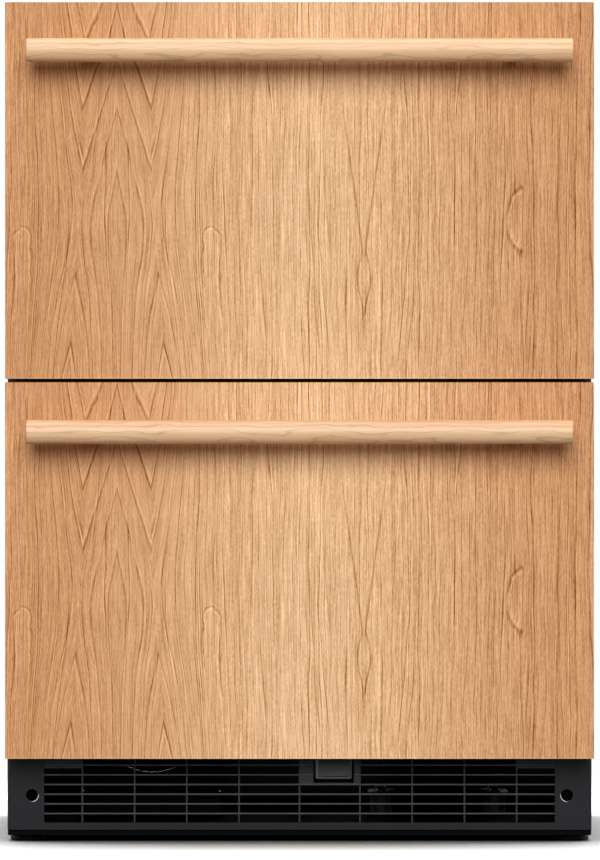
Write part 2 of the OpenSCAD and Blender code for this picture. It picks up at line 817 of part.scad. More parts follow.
// Cover over the coil and fan, with a fan grille and a row of return slots.
module evaporator_cover() {
    w = evap_w / 2;
    front_y = [evap_y - 1, evap_y + evap_t + 1];
    slot_n = 9;
    slot_w = 24;
    slot_h = 6;
    slot_z = evap_z + 14;
    slot_pitch = (evap_w - 60) / slot_n;
    guard_n = 7;
    guard_pitch = 2 * evap_fan_r / guard_n;
    color("white") difference() {
        block([-w, w], [evap_y, liner_back_y], [evap_z, evap_z + evap_h]);
        block([evap_t - w, w - evap_t], [evap_y + evap_t, liner_back_y + 1],
            [evap_z + evap_t, evap_z + evap_h - evap_t]);
        for (i = [0:slot_n - 1]) {
            x = (i - (slot_n - 1) / 2) * slot_pitch;
            block([x - slot_w / 2, x + slot_w / 2], front_y, [slot_z, slot_z + slot_h]);
        }
        for (i = [0:guard_n - 1]) {
            rise = (i - (guard_n - 1) / 2) * guard_pitch;
            half = sqrt(max(pow(guard_min, 2), pow(evap_fan_r, 2) - pow(rise, 2)));
            z = evap_fan_z + rise - slot_h / 2;
            block([-half, half], front_y, [z, z + slot_h]);
        }
    }
}

// Motor of the evaporator fan, on the liner's back wall.
module evaporator_motor() {
    color("dimgray") translate([0, 0, evap_fan_z]) {
        rod_y(evap_motor_r, evap_motor_y, liner_back_y);
        rod_y(evap_shaft_r, evap_motor_y - 12, evap_motor_y);
    }
}

// An axial fan: a bored hub and slanted blades, along Y from y0.
module axial_fan(r, hub_r, bore_r, depth, y0, blades) {
    difference() {
        union() {
            rod_y(hub_r, y0, y0 + depth);
            for (i = [0:blades - 1]) rotate([0, i * 360 / blades, 0])
                translate([0, y0 + depth / 2, 0]) rotate([0, 0, 32])
                    block([-hub_r * 0.75, hub_r * 0.75], [-0.75, 0.75], [hub_r * 0.8, r]);
        }
        rod_y(bore_r, y0 - 1, y0 + depth + 1);
    }
}

// Blades that blow the cold air out through the cover.
module evaporator_fan() {
    color("white") translate([0, 0, evap_fan_z])
        axial_fan(evap_fan_r - 2, 11, evap_shaft_r + run_fit, 9, evap_motor_y - 11, 5);
}

// Hermetic compressor with its foot plate, terminal box and pipe stubs.
module compressor() {
    r = compressor_r;
    h = compressor_h;
    dome = 22;
    seam_t = 4;
    box_w = 44;
    box_h = 48;
    box_z = h * 0.3;
    color("black") translate([compressor_x, compressor_y, compressor_z]) difference() {
        union() {
            rotate_extrude() polygon(concat([[0, 0], [r - dome, 0]],
                [for (a = [15:15:90]) [r - dome + dome * sin(a), dome - dome * cos(a)]],
                [for (a = [0:15:90]) [r - dome + dome * cos(a), h - dome + dome * sin(a)]], [[0, h]]));
            translate([0, 0, h * 0.55]) cylinder(r = r + 3, h = seam_t);
            block([-grommet_x - plate_edge, grommet_x + plate_edge],
                [-grommet_y - plate_edge, grommet_y + plate_edge], [-plate_t, 0]);
            block([-r - 22, 12 - r], [-box_w / 2, box_w / 2], [box_z, box_z + box_h]);
            for (at = [suction_at, discharge_at]) translate([at[0], at[1], h - 10])
                cylinder(r = pipe_d / 2 + stub_wall, h = 10 + stub_h);
        }
        for (x = [-grommet_x, grommet_x], y = [-grommet_y, grommet_y])
            translate([x, y, -plate_t - 1]) cylinder(r = grommet_neck_r + fit, h = plate_t + 2);
    }
}

// Rubber mounts: a foot under the compressor's plate and a neck up through it.
module compressor_grommets() {
    color("dimgray") for (x = [-grommet_x, grommet_x], y = [-grommet_y, grommet_y])
        translate([compressor_x + x, compressor_y + y, base_z + pan_t]) difference() {
            union() {
                cylinder(r = grommet_r, h = grommet_h);
                cylinder(r = grommet_neck_r, h = grommet_h + grommet_neck_h);
            }
            translate([0, 0, -1])
                cylinder(r = grommet_bolt_r + run_fit, h = grommet_h + grommet_neck_h + 2);
        }
}

// Fin coil that gives the heat to the air drawn in through the grille.
module condenser_coil() {
    foot_z = base_z + pan_t - condenser_z;
    color("dimgray") translate([condenser_x - condenser_w / 2, condenser_y, condenser_z]) {
        fin_coil(condenser_w, condenser_d, condenser_h, condenser_rows, condenser_pitch);
        for (x = [-2 * end_plate_t, condenser_w + end_plate_t])
            block([x, x + end_plate_t], [0, condenser_d], [foot_z, condenser_h]);
    }
}

// Plate and ring round the condenser fan, with feet on the base pan and arms to the motor.
module condenser_shroud() {
    half = fan_r + shroud_edge;
    inner_r = fan_r + ring_gap;
    outer_r = inner_r + ring_t;
    arm_r = outer_r + 2;
    arm_y = motor_y + 2;
    color("dimgray") translate([condenser_x, 0, fan_z]) {
        difference() {
            union() {
                block([-half, half], [shroud_y, shroud_y + shroud_t],
                    [base_z + pan_t - fan_z, half]);
                rod_y(outer_r, shroud_y, shroud_y + ring_d);
            }
            rod_y(inner_r, shroud_y - 1, shroud_y + ring_d + 1);
        }
        for (turn = [45:90:315]) rotate([0, turn, 0]) {
            block([-arm_w / 2, arm_w / 2], [arm_y, arm_y + arm_t], [motor_r + fit, arm_r]);
            block([-arm_w / 2, arm_w / 2], [shroud_y + ring_d - 1, arm_y + arm_t],
                [inner_r + 0.5, arm_r]);
        }
        difference() {
            rod_y(motor_r + 4, arm_y, arm_y + 6);
            rod_y(motor_r + fit, arm_y - 1, arm_y + 7);
        }
    }
}

// Motor of the condenser fan, held by a rim against the shroud's ring.
module condenser_motor() {
    rim_y = motor_y + 8;
    color("silver") translate([condenser_x, 0, fan_z]) {
        rod_y(motor_r, motor_y, motor_y + motor_l);
        rod_y(motor_r + 3, rim_y, rim_y + 4);
        rod_y(motor_shaft_r, motor_y - 16, motor_y);
    }
}

// Blades of the condenser fan.
module condenser_fan() {
    color("black") translate([condenser_x, 0, fan_z])
        axial_fan(fan_r - 2, 16, motor_shaft_r + run_fit, fan_d, fan_y, 5);
}

// Copper pipes: suction from the evaporator, discharge to the condenser's top, and from its
// bottom the drier and the thin capillary that runs back to the suction pipe.
module refrigerant_pipes() {
    r = pipe_d / 2;
    row = condenser_h / condenser_rows;
    coil_y = condenser_y + condenser_d / 2;
    inlet = [condenser_x + condenser_w / 2 + 3, coil_y, condenser_z + condenser_h - row / 2];
    outlet = [condenser_x - condenser_w / 2 - 12, coil_y, condenser_z + row / 2];
    stub_top = compressor_z + compressor_h + stub_h;
    discharge_x = compressor_x + discharge_at[0];
    discharge_y = compressor_y + discharge_at[1];
    drop_x = inlet[0] + pipe_bend + 8;
    drier_x = outlet[0] - pipe_bend - 6;
    drier_z = outlet[2] + pipe_bend + 4;
    cap_y = back_y - 60;
    color("peru") {
        pipe([[discharge_x, discharge_y, stub_top], [discharge_x, discharge_y, run_z],
            [discharge_x, coil_y, run_z], [drop_x, coil_y, run_z],
            [drop_x, coil_y, inlet[2]], inlet], r, pipe_bend);
        pipe([[suction_x, compressor_y, stub_top], [suction_x, compressor_y, run_z],
            [suction_x, suction_y, run_z], [suction_x, suction_y, suction_z],
            [suction_x, liner_back_y - 10, suction_z]], r, pipe_bend);
        pipe([outlet, [drier_x, coil_y, outlet[2]], [drier_x, coil_y, drier_z + 1]], r, pipe_bend);
        translate([drier_x, coil_y, drier_z]) cylinder(r = drier_r, h = drier_h);
        pipe([[drier_x, coil_y, drier_z + drier_h - 1], [drier_x, coil_y, run_z],
            [drier_x, cap_y, run_z], [suction_x - cap_r, cap_y, run_z]], cap_r, pipe_bend);
    }
}

// Shallow tray under the condenser for the melt water.
module drain_pan() {
    t = drain_t;
    color("black") translate([condenser_x - condenser_w / 2, condenser_y, base_z + pan_t])
        difference() {
            cube([condenser_w, condenser_d, drain_h]);
            translate([t, t, t]) cube([condenser_w - 2 * t, condenser_d - 2 * t, drain_h]);
        }
}

// Slotted cover over the machine room at the back, with the cord's hole.
module rear_cover() {
    z0 = base_z + 2;
    columns = 4;
    column_w = (case_w - 60) / columns;
    slot_h = 6;
    slot_gap = 10;
    slot_edge = 12;
    slots_z = z0 + 60;
    rows = floor((machine_h - slots_z - slot_edge) / (slot_h + slot_gap));
    half = column_w / 2 - slot_edge;
    color("gray") difference() {
        block([-inside_x, inside_x], [back_y - sheet_t, back_y], [z0, machine_h]);
        for (c = [0:columns - 1], i = [0:rows - 1]) {
            x = (c - (columns - 1) / 2) * column_w;
            z = slots_z + i * (slot_h + slot_gap);
            block([x - half, x + half], [back_y - sheet_t - 1, back_y + 1], [z, z + slot_h]);
        }
        translate([gland_x, 0, gland_z])
            rod_y(gland_hole_d / 2 + gland_wall, back_y - sheet_t - 1, back_y + 1);
    }
}

// Plastic bush that the power cord leaves by.
module cord_gland() {
    r = gland_hole_d / 2;
    inner_y = back_y - gland_l;
    color("black") translate([gland_x, 0, gland_z]) difference() {
        union() {
            rod_y(r + gland_wall - run_fit, inner_y, back_y);
            rod_y(r + gland_wall + gland_flange, back_y - sheet_t - gland_flange, back_y - sheet_t);
        }
        rod_y(r, inner_y - 1, back_y + 1);
    }
}

// Steel tabs that reach forward from the cabinet's top, for screws up into the worktop.
module worktop_brackets() {
    half_w = bracket_pitch / 2 + bracket_edge;
    front_y = case_y - bracket_reach - bracket_edge;
    color("silver") both_sides()
        translate([case_w / 2 - bracket_inset, 0, case_top]) difference() {
            linear_extrude(bracket_t)
                polygon(rounded(-half_w, half_w, front_y, case_y + bracket_hold, bracket_r));
            for (x = [-bracket_pitch / 2, bracket_pitch / 2])
                translate([x, case_y - bracket_reach, -1])
                    cylinder(d = bracket_hole_d, h = bracket_t + 2);
        }
}

// A levelling foot: a round pad with a threaded stud.
module levelling_foot(x, y) {
    r = foot_d / 2;
    edge = 1.5;
    color("black") translate([x, y, 0]) {
        rotate_extrude() polygon([
            [0, 0], [r - edge, 0], [r, edge], [r, foot_h - edge], [r - edge, foot_h], [0, foot_h]
        ]);
        translate([0, 0, foot_h - 1]) cylinder(d = stud_d, h = stud_l + 1);
    }
}

// ---- Drawers -------------------------------------------------------------------------------

// Places pieces at both handle posts of the front at z0.
module at_posts(z0) {
    both_sides() translate([handle_l / 2 - post_inset, 0, z0 + panel_h - handle_drop]) children();
}

// Veneered front panel, drilled and counterbored from behind for the handle screws.
module front_panel(z0) {
    color("burlywood") difference() {
        block([-panel_w / 2, panel_w / 2], [y_at(0), y_at(panel_t)], [z0, z0 + panel_h]);
        at_posts(z0) {
            rod_y(handle_screw_d / 2 + fit, y_at(-1), y_at(panel_t + 1));
            rod_y(handle_screw_d + fit, y_at(panel_t - counterbore_d), y_at(panel_t + 1));
        }
    }
}

// Turned bar with rounded ends, planed flat underneath and behind.
module handle_bar(z0) {
    r = handle_d / 2;
    e = handle_end_r;
    half = handle_l / 2;
    y0 = y_at(-handle_stand);
    arc = [for (a = [0:15:90]) [r - e + e * cos(a), half - e + e * sin(a)]];
    color("wheat") translate([0, y0, z0 + panel_h - handle_drop]) difference() {
        rotate([0, 90, 0]) rotate_extrude() polygon(concat([[0, -half]],
            [for (i = [len(arc) - 1:-1:0]) [arc[i][0], -arc[i][1]]], arc, [[0, half]]));
        block([-half - 1, half + 1], [-r, r], [-r - 1, -handle_flat]);
        block([-half - 1, half + 1], [handle_seat, r + 1], [-r - 1, r + 1]);
    }
}

// Two posts between the bar and the panel.
module handle_posts(z0) {
    color("wheat") at_posts(z0) difference() {
        rod_y(post_d / 2, y_at(handle_seat - handle_stand), y_at(0));
        rod_y(handle_screw_d / 2 + run_fit, y_at(-handle_screw_grip - 1), y_at(1));
    }
}

// Two screws from behind the panel into the posts.
module handle_screws(z0) {
    head_y = y_at(panel_t - counterbore_d);
    color("silver") at_posts(z0) {
        rod_y(handle_screw_d / 2, y_at(-handle_screw_grip), head_y + 0.1);
        rod_y(handle_screw_d, head_y, head_y + screw_head_h);
    }
}

// Edges of a door: [half width, lowest z, highest z], for the front at z0 and shrunk by a margin.
function door_box(z0, shrink) = [
    case_w / 2 - door_margin - shrink, z0 + door_inset + shrink, z0 + panel_h - door_inset - shrink
];

// Steel pan of a door, open towards the cabinet.
module door_skin(z0) {
    a = door_box(z0, 0);
    b = door_box(z0, skin_t);
    color("silver") difference() {
        block([-a[0], a[0]], [y_at(panel_t), y_at(panel_t + door_t)], [a[1], a[2]]);
        block([-b[0], b[0]], [y_at(panel_t + skin_t), y_at(panel_t + door_t) + 1], [b[1], b[2]]);
    }
}

// Plug of a door: [half width, lowest z, highest z], inside its compartment's opening.
function plug_box(opening, shrink) = [
    open_x - plug_gap - shrink, opening[0] + plug_gap + shrink, opening[1] - plug_gap - shrink
];

// Foam that fills a door and its plug.
module door_foam(z0, opening) {
    b = door_box(z0, skin_t);
    p = plug_box(opening, liner_t);
    liner_s = panel_t + door_t - liner_t;
    color("khaki") {
        block([-b[0], b[0]], [y_at(panel_t + skin_t), y_at(liner_s)], [b[1], b[2]]);
        block([-p[0], p[0]], [y_at(liner_s - 1), y_at(panel_t + door_t + plug_d - liner_t)], [p[1], p[2]]);
    }
}

// White inner face of a door, raised in a plug that enters the opening.
module door_liner(z0, opening) {
    b = door_box(z0, skin_t);
    p = plug_box(opening, 0);
    q = plug_box(opening, liner_t);
    s1 = panel_t + door_t;
    color("white") difference() {
        union() {
            block([-b[0], b[0]], [y_at(s1 - liner_t), y_at(s1)], [b[1], b[2]]);
            block([-p[0], p[0]], [y_at(s1 - liner_t), y_at(s1 + plug_d)], [p[1], p[2]]);
        }
        block([-q[0], q[0]], [y_at(s1 - liner_t - 1), y_at(s1 + plug_d - liner_t)], [q[1], q[2]]);
    }
}

// Magnetic seal, a ring on the door's inner face.
module door_seal(z0) {
    a = door_box(z0, seal_inset);
    b = door_box(z0, seal_inset + seal_w);
    y = [y_at(panel_t + door_t), case_y];
    color("gray") difference() {
        block([-a[0], a[0]], y, [a[1], a[2]]);
        block([-b[0], b[0]], [y[0] - 1, y[1] + 1], [b[1], b[2]]);
    }
}

// Open bin with rounded upright corners and a rim.
module drawer_bin(z0, length, height) {
    outer = rounded(-bin_x, bin_x, bin_y, bin_y + length, bin_r);
    inner = rounded(bin_t - bin_x, bin_x - bin_t, bin_y + bin_t, bin_y + length - bin_t, bin_r - bin_t);
    rim = rounded(-bin_x - rim_w, bin_x + rim_w, bin_y, bin_y + length + rim_w, bin_r);
    color("whitesmoke") translate([0, 0, z0]) difference() {
        union() {
            linear_extrude(height) polygon(outer);
            translate([0, 0, height - rim_t]) linear_extrude(rim_t) polygon(rim);
        }
        translate([0, 0, bin_t]) linear_extrude(height) polygon(inner);
    }
}

// Partition across a bin, hung on its rim by a hook at each side.
module bin_divider(z0, length, height) {
    y = bin_y + length / 2;
    top = z0 + height;
    half = bin_x - bin_t - divider_play;
    rim_x = bin_x + rim_w;
    hook_y = [y - hook_l / 2, y + hook_l / 2];
    color("aliceblue") {
        block([-half, half], [y - divider_t / 2, y + divider_t / 2],
            [z0 + bin_t + divider_gap, top + fit + hook_t]);
        both_sides() {
            block([half - 1, rim_x + fit + hook_w], hook_y, [top + fit, top + fit + hook_t]);
            block([rim_x + fit, rim_x + fit + hook_w], hook_y, [top - rim_t, top + fit + hook_t]);
        }
    }
}

// A C-shaped slide member on the right: web at web_x, flanges towards dir, half height hh.
module slide_member(web_x, dir, hh, reach, y0, length) {
    edge = web_x + dir * reach;
    web = web_x + dir * slide_t;
    along_y(y0, y0 + length) polygon([
        [web_x, -hh], [edge, -hh], [edge, slide_t - hh], [web, slide_t - hh],
        [web, hh - slide_t], [edge, hh - slide_t], [edge, hh], [web_x, hh]
    ]);
}

// Channels screwed to the liner, for both drawers.
module slide_channels() {
    reach = slide_w - channel_gap;
    color("silver") both_sides()
        for (drawer = [[upper_bin_z, upper_slide_l], [lower_bin_z, lower_slide_l]])
            translate([0, 0, drawer[0] + slide_lift])
                slide_member(open_x, -1, hh_outer, reach, slide_y, drawer[1]);
}

// Sliding members between the channels and the bin's rails.
module slide_middle(z0, length) {
    reach = slide_w - slide_t - slide_play - middle_gap;
    color("gainsboro") both_sides() translate([0, 0, z0 + slide_lift])
        slide_member(open_x - slide_t - slide_play, -1, hh_middle, reach, slide_y, length);
}

// Rails fixed to the bin's sides.
module slide_inner(z0, length) {
    reach = slide_w - 2 * slide_t - slide_play - inner_gap;
    color("silver") both_sides() translate([0, 0, z0 + slide_lift])
        slide_member(bin_x, 1, hh_inner, reach, slide_y, length);
}

// ---- The object ----------------------------------------------------------------------------

outer_case();
back_panel();
base_pan();
deck_plate();
foam_insulation();
inner_liner();
mullion();
toe_grille();
grille_screws();
switch_housing();
switch_rocker();
control_fascia();
display_lens();
control_button(-button_x);  // button_colder
control_button(button_x);  // button_warmer
light_bars();
slide_channels();
evaporator_coil();
evaporator_cover();
evaporator_motor();
evaporator_fan();
compressor();
compressor_grommets();
condenser_coil();
condenser_shroud();
condenser_motor();
condenser_fan();
refrigerant_pipes();
drain_pan();
rear_cover();
cord_gland();
worktop_brackets();
levelling_foot(-foot_x, foot_ys[0]);  // foot_front_left
levelling_foot(foot_x, foot_ys[0]);  // foot_front_right
levelling_foot(-foot_x, foot_ys[1]);  // foot_back_left
levelling_foot(foot_x, foot_ys[1]);  // foot_back_right
front_panel(upper_z);  // upper_panel
handle_bar(upper_z);  // upper_handle
handle_posts(upper_z);  // upper_handle_posts
handle_screws(upper_z);  // upper_handle_screws
door_skin(upper_z);  // upper_door_skin
door_foam(upper_z, upper_opening);  // upper_door_foam
door_liner(upper_z, upper_opening);  // upper_door_liner
door_seal(upper_z);  // upper_seal
drawer_bin(upper_bin_z, upper_bin_l, upper_bin_h);  // upper_bin
slide_inner(upper_bin_z, upper_slide_l);  // upper_slide_inner
slide_middle(upper_bin_z, upper_slide_l);  // upper_slide_middle
bin_divider(upper_bin_z, upper_bin_l, upper_bin_h);  // upper_divider
front_panel(toe_h);  // lower_panel
handle_bar(toe_h);  // lower_handle
handle_posts(toe_h);  // lower_handle_posts
handle_screws(toe_h);  // lower_handle_screws
door_skin(toe_h);  // lower_door_skin
door_foam(toe_h, lower_opening);  // lower_door_foam
door_liner(toe_h, lower_opening);  // lower_door_liner
door_seal(toe_h);  // lower_seal
drawer_bin(lower_bin_z, lower_bin_l, lower_bin_h);  // lower_bin
slide_inner(lower_bin_z, lower_slide_l);  // lower_slide_inner
slide_middle(lower_bin_z, lower_slide_l);  // lower_slide_middle
bin_divider(lower_bin_z, lower_bin_l, lower_bin_h);  // lower_divider
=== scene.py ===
# %% [markdown]
# # An undercounter drawer refrigerator
# The object is a refrigerator that stands under a worktop: two drawers behind veneered wooden
# fronts, a black louvred toe grille, and a steel cabinet with the cooling parts inside. Its
# construction comes from a CAD model that is loaded below as a fixed frame. This lesson dresses
# that frame: it gives every part the finish of the real one, and remodels the parts whose
# rounded edges, screws, balls and threads are too fine for the CAD model.

# %% Load the frame
import math

import bmesh
import bpy
from mathutils import Matrix, Vector


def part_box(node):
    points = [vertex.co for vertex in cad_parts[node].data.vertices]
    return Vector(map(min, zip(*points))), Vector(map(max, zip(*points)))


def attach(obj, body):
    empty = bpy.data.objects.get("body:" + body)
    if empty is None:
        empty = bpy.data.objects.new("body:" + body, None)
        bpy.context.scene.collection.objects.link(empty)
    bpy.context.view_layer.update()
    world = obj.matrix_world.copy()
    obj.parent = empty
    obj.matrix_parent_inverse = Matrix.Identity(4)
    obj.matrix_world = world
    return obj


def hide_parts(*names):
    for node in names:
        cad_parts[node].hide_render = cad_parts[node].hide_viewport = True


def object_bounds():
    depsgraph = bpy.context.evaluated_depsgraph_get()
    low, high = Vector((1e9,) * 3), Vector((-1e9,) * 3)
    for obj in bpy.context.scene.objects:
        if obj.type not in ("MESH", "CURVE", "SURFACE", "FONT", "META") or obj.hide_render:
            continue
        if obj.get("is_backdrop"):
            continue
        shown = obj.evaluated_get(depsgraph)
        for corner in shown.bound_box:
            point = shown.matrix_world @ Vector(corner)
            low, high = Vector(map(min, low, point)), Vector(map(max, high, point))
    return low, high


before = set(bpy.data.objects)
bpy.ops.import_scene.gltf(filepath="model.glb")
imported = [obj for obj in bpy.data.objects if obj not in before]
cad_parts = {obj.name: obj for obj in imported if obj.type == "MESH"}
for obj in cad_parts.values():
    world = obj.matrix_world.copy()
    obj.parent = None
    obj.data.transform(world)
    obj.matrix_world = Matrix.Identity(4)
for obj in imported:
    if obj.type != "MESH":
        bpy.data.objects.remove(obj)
cad_low, cad_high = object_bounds()
MM = 0.001

# %% [markdown]
# ## Camera
# The photograph is a catalogue picture: taken from far away with a long lens, level with the
# middle of the fronts, so that nothing converges. Eight metres and a lens of 326 mm give the
# same frame. Sides and top then stay hidden, as they do in the picture.

# %% Camera
FRONT_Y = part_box("upper_panel")[0].y
EYE = Vector((0.0005, FRONT_Y - 8.0, 0.4254))


def add_object(name, data):
    """Puts a mesh, a camera or a light into the scene as an object."""
    made = bpy.data.objects.new(name, data)
    bpy.context.scene.collection.objects.link(made)
    return made


camera_data = bpy.data.cameras.new("catalogue_camera")
camera_data.lens = 326
camera_data.sensor_width = 36
camera_data.clip_end = 100
camera = add_object("catalogue_camera", camera_data)
camera.location = EYE
camera.rotation_euler = (math.radians(90), 0, 0)
bpy.context.scene.camera = camera
height_seen = (FRONT_Y - EYE.y) * camera_data.sensor_width / camera_data.lens
print("camera:", round(height_seen, 4), "m high at the fronts")

# %% [markdown]
# ## Numbers on a surface
# A procedural finish is arithmetic on places: where a point is on the piece decides its colour.
# Blender does that arithmetic with Math nodes, and wiring dozens of them by hand hides the
# idea. A small class lets the formulas be written as formulas: each operation on a `Field` adds
# the node that does it.

# %% Fields: arithmetic that builds nodes
def plug(tree, value, socket):
    """Sets a socket to a plain value, or links a field or another socket to it."""
    if isinstance(value, Field):
        tree.links.new(value.socket, socket)
    elif isinstance(value, bpy.types.NodeSocket):
        tree.links.new(value, socket)
    else:
        socket.default_value = value


def operation(name):
    """A method of Field that adds one Math node."""
    return lambda self, *others: self.math(name, *others)


class Field:
    """A number that varies over a surface."""

    def __init__(self, tree, socket):
        self.tree = tree
        self.socket = socket

    def math(self, name, *others):
        node = self.tree.nodes.new("ShaderNodeMath")
        node.operation = name
        for value, socket in zip((self, *others), node.inputs):
            plug(self.tree, value, socket)
        return Field(self.tree, node.outputs[0])

    __add__ = __radd__ = operation("ADD")
    __mul__ = __rmul__ = operation("MULTIPLY")
    __sub__ = operation("SUBTRACT")
    __truediv__ = operation("DIVIDE")
    __abs__ = operation("ABSOLUTE")
    modulo = operation("MODULO")
    pingpong = operation("PINGPONG")
    power = operation("POWER")
    root = operation("SQRT")
    exp = operation("EXPONENT")
    floor = operation("FLOOR")
    fract = operation("FRACT")
    at_least = operation("MAXIMUM")
    above = operation("GREATER_THAN")

    def __neg__(self):
        return self * -1.0

    def __rsub__(self, other):
        return -self + other

    def step(self, start, end):
        """0 at start, 1 at end, and a smooth change between; start may be the larger."""
        node = self.tree.nodes.new("ShaderNodeMapRange")
        node.interpolation_type = "SMOOTHSTEP"
        plug(self.tree, self, node.inputs["Value"])
        plug(self.tree, start, node.inputs["From Min"])
        plug(self.tree, end, node.inputs["From Max"])
        return Field(self.tree, node.outputs["Result"])

    def bell(self, middle, width):
        """1 at the middle, falling to nothing a few widths away."""
        offset = (self - middle) / width
        return (-(offset * offset)).exp()


def place(tree):
    """Where a point is on its piece, in millimetres, as three fields."""
    where = tree.nodes.new("ShaderNodeTexCoord")
    in_mm = tree.nodes.new("ShaderNodeVectorMath")
    in_mm.operation = "SCALE"
    in_mm.inputs["Scale"].default_value = 1 / MM
    parts = tree.nodes.new("ShaderNodeSeparateXYZ")
    tree.links.new(where.outputs["Object"], in_mm.inputs[0])
    tree.links.new(in_mm.outputs[0], parts.inputs[0])
    return [Field(tree, socket) for socket in parts.outputs]


def vector(tree, *parts):
    node = tree.nodes.new("ShaderNodeCombineXYZ")
    for value, socket in zip(parts, node.inputs):
        plug(tree, value, socket)
    return node.outputs[0]


def noise(tree, *parts, detail=2.0, roughness=0.5):
    """Soft random field between about 0.3 and 0.7, of one wave per unit of its place."""
    node = tree.nodes.new("ShaderNodeTexNoise")
    node.inputs["Scale"].default_value = 1.0
    node.inputs["Detail"].default_value = detail
    node.inputs["Roughness"].default_value = roughness
    tree.links.new(vector(tree, *parts), node.inputs["Vector"])
    return Field(tree, node.outputs["Fac"])


def white(tree, *parts):
    """A random number of 0 to 1 that changes at once with its place."""
    node = tree.nodes.new("ShaderNodeTexWhiteNoise")
    tree.links.new(vector(tree, *parts), node.inputs["Vector"])
    return Field(tree, node.outputs["Value"])


def cells(tree, *parts, feature="F1"):
    """Distance to the nearest of many scattered points, or to the edge between two cells."""
    node = tree.nodes.new("ShaderNodeTexVoronoi")
    node.feature = feature
    node.inputs["Scale"].default_value = 1.0
    tree.links.new(vector(tree, *parts), node.inputs["Vector"])
    return Field(tree, node.outputs["Distance"]), node.outputs.get("Color")


def linear(red, green, blue):
    """Colour of 0 to 255, as a picture stores it, in the values a shader wants."""
    def channel(c):
        c /= 255
        return c / 12.92 if c <= 0.04045 else ((c + 0.055) / 1.055) ** 2.4
    return (channel(red), channel(green), channel(blue), 1.0)


def mix(tree, factor, first, second, blend="MIX"):
    """Colour between two, by a field; blend="MULTIPLY" gives their product."""
    node = tree.nodes.new("ShaderNodeMix")
    node.data_type = "RGBA"
    node.blend_type = blend
    node.clamp_factor = False
    plug(tree, factor, node.inputs[0])
    plug(tree, first, node.inputs[6])
    plug(tree, second, node.inputs[7])
    return node.outputs[2]


def shade(tree, colour, level):
    """A colour made darker or lighter by a field around 1."""
    node = tree.nodes.new("ShaderNodeVectorMath")
    node.operation = "SCALE"
    tree.links.new(colour, node.inputs[0])
    plug(tree, level, node.inputs["Scale"])
    return node.outputs[0]


print("fields ready")

# %% [markdown]
# ## Starting a finish
# All finishes here use the Principled shader. A `Finish` makes the material with its nodes and
# the place fields. Its `cloud` is a noise whose lumps have a size in millimetres, and `done`
# links the colour, the gloss and a height field in millimetres, which becomes a bump. Anything
# that is the same all over the piece is set straight on the shader's socket.

# %% Begin and end a finish
class Finish:
    """A material in the making."""

    def __init__(self, name, **constants):
        self.material = bpy.data.materials.new(name)
        self.material.use_nodes = True
        self.tree = self.material.node_tree
        self.tree.nodes.clear()
        output = self.tree.nodes.new("ShaderNodeOutputMaterial")
        self.shader = self.tree.nodes.new("ShaderNodeBsdfPrincipled")
        self.tree.links.new(self.shader.outputs[0], output.inputs[0])
        for socket, value in constants.items():
            self.shader.inputs[socket.replace("_", " ")].default_value = value
        self.at = place(self.tree)

    def cloud(self, *sizes, detail=2.0, roughness=0.5):
        """Noise with lumps of one size in millimetres, or of one size for each axis."""
        if len(sizes) == 1:
            sizes *= 3
        scaled = [axis / size for axis, size in zip(self.at, sizes)]
        return noise(self.tree, *scaled, detail=detail, roughness=roughness)

    def mix(self, factor, first, second):
        return mix(self.tree, factor, first, second)

    def done(self, colour, gloss, height_mm=None, level=None):
        """Links what varies and returns the material; a level around 1 darkens or lightens it."""
        if level:
            colour = shade(self.tree, colour, level)
        self.tree.links.new(colour, self.shader.inputs["Base Color"])
        plug(self.tree, gloss, self.shader.inputs["Roughness"])
        if height_mm:
            bump = self.tree.nodes.new("ShaderNodeBump")
            bump.inputs["Strength"].default_value = 1.0
            bump.inputs["Distance"].default_value = MM
            plug(self.tree, height_mm, bump.inputs["Height"])
            self.tree.links.new(bump.outputs[0], self.shader.inputs["Normal"])
        return self.material


def times(colour, factor):
    """A colour with its channels multiplied by a plain number."""
    return [channel * factor for channel in colour[:3]] + [1]

# %% [markdown]
# ## Moulded plastic
# Injection-moulded plastic is never one colour or one gloss: the mould's fine spark-eroded
# grain gives a soft sheen, flow lines change it slowly over the part, and handling polishes
# some of it. One function makes all the plastics, from the dull black grille to the glossy
# white liner; they differ in colour, gloss and in the size of the grain.

# %% Plastic finish
def plastic(name, colour, gloss=0.45, grain=0.9, depth=0.02, drift=0.08, painted_highlight=None, paler=3.4,
            **constants):
    finish = Finish(name, **constants)
    fine = finish.cloud(grain, detail=3)
    slow = finish.cloud(90, 90, 60)
    spots = finish.cloud(9, detail=4)
    plain = finish.mix((slow - 0.3) * 1.2, colour, times(colour, 0.96))
    # A painted highlight: where a mask is given, the colour turns paler there by `paler`.
    if painted_highlight:
        plain = finish.mix(painted_highlight(*finish.at), plain, times(colour, paler))
    wear = drift * 2
    level = 1 + (slow - 0.5) * drift * 2 + (spots - 0.5) * drift + (fine - 0.5) * drift
    return finish.done(plain, gloss + (spots - 0.5) * wear + (fine - 0.5) * wear * 0.8,
                       fine * depth + slow * depth, level)


# %% Where highlights are painted on the grille and the switch, in millimetres
SLATS_END_X = 263.5
SLATS_Z = (20.0, 84.5)
SLAT_TOP = 19.6
SLAT_PITCH = 10.0
NOSE_Y = -222.0
WELL_X = 276.5
WELL_Z = 47.9
WELL_R = 6.45
RECESS_LEFT_X = 12.0


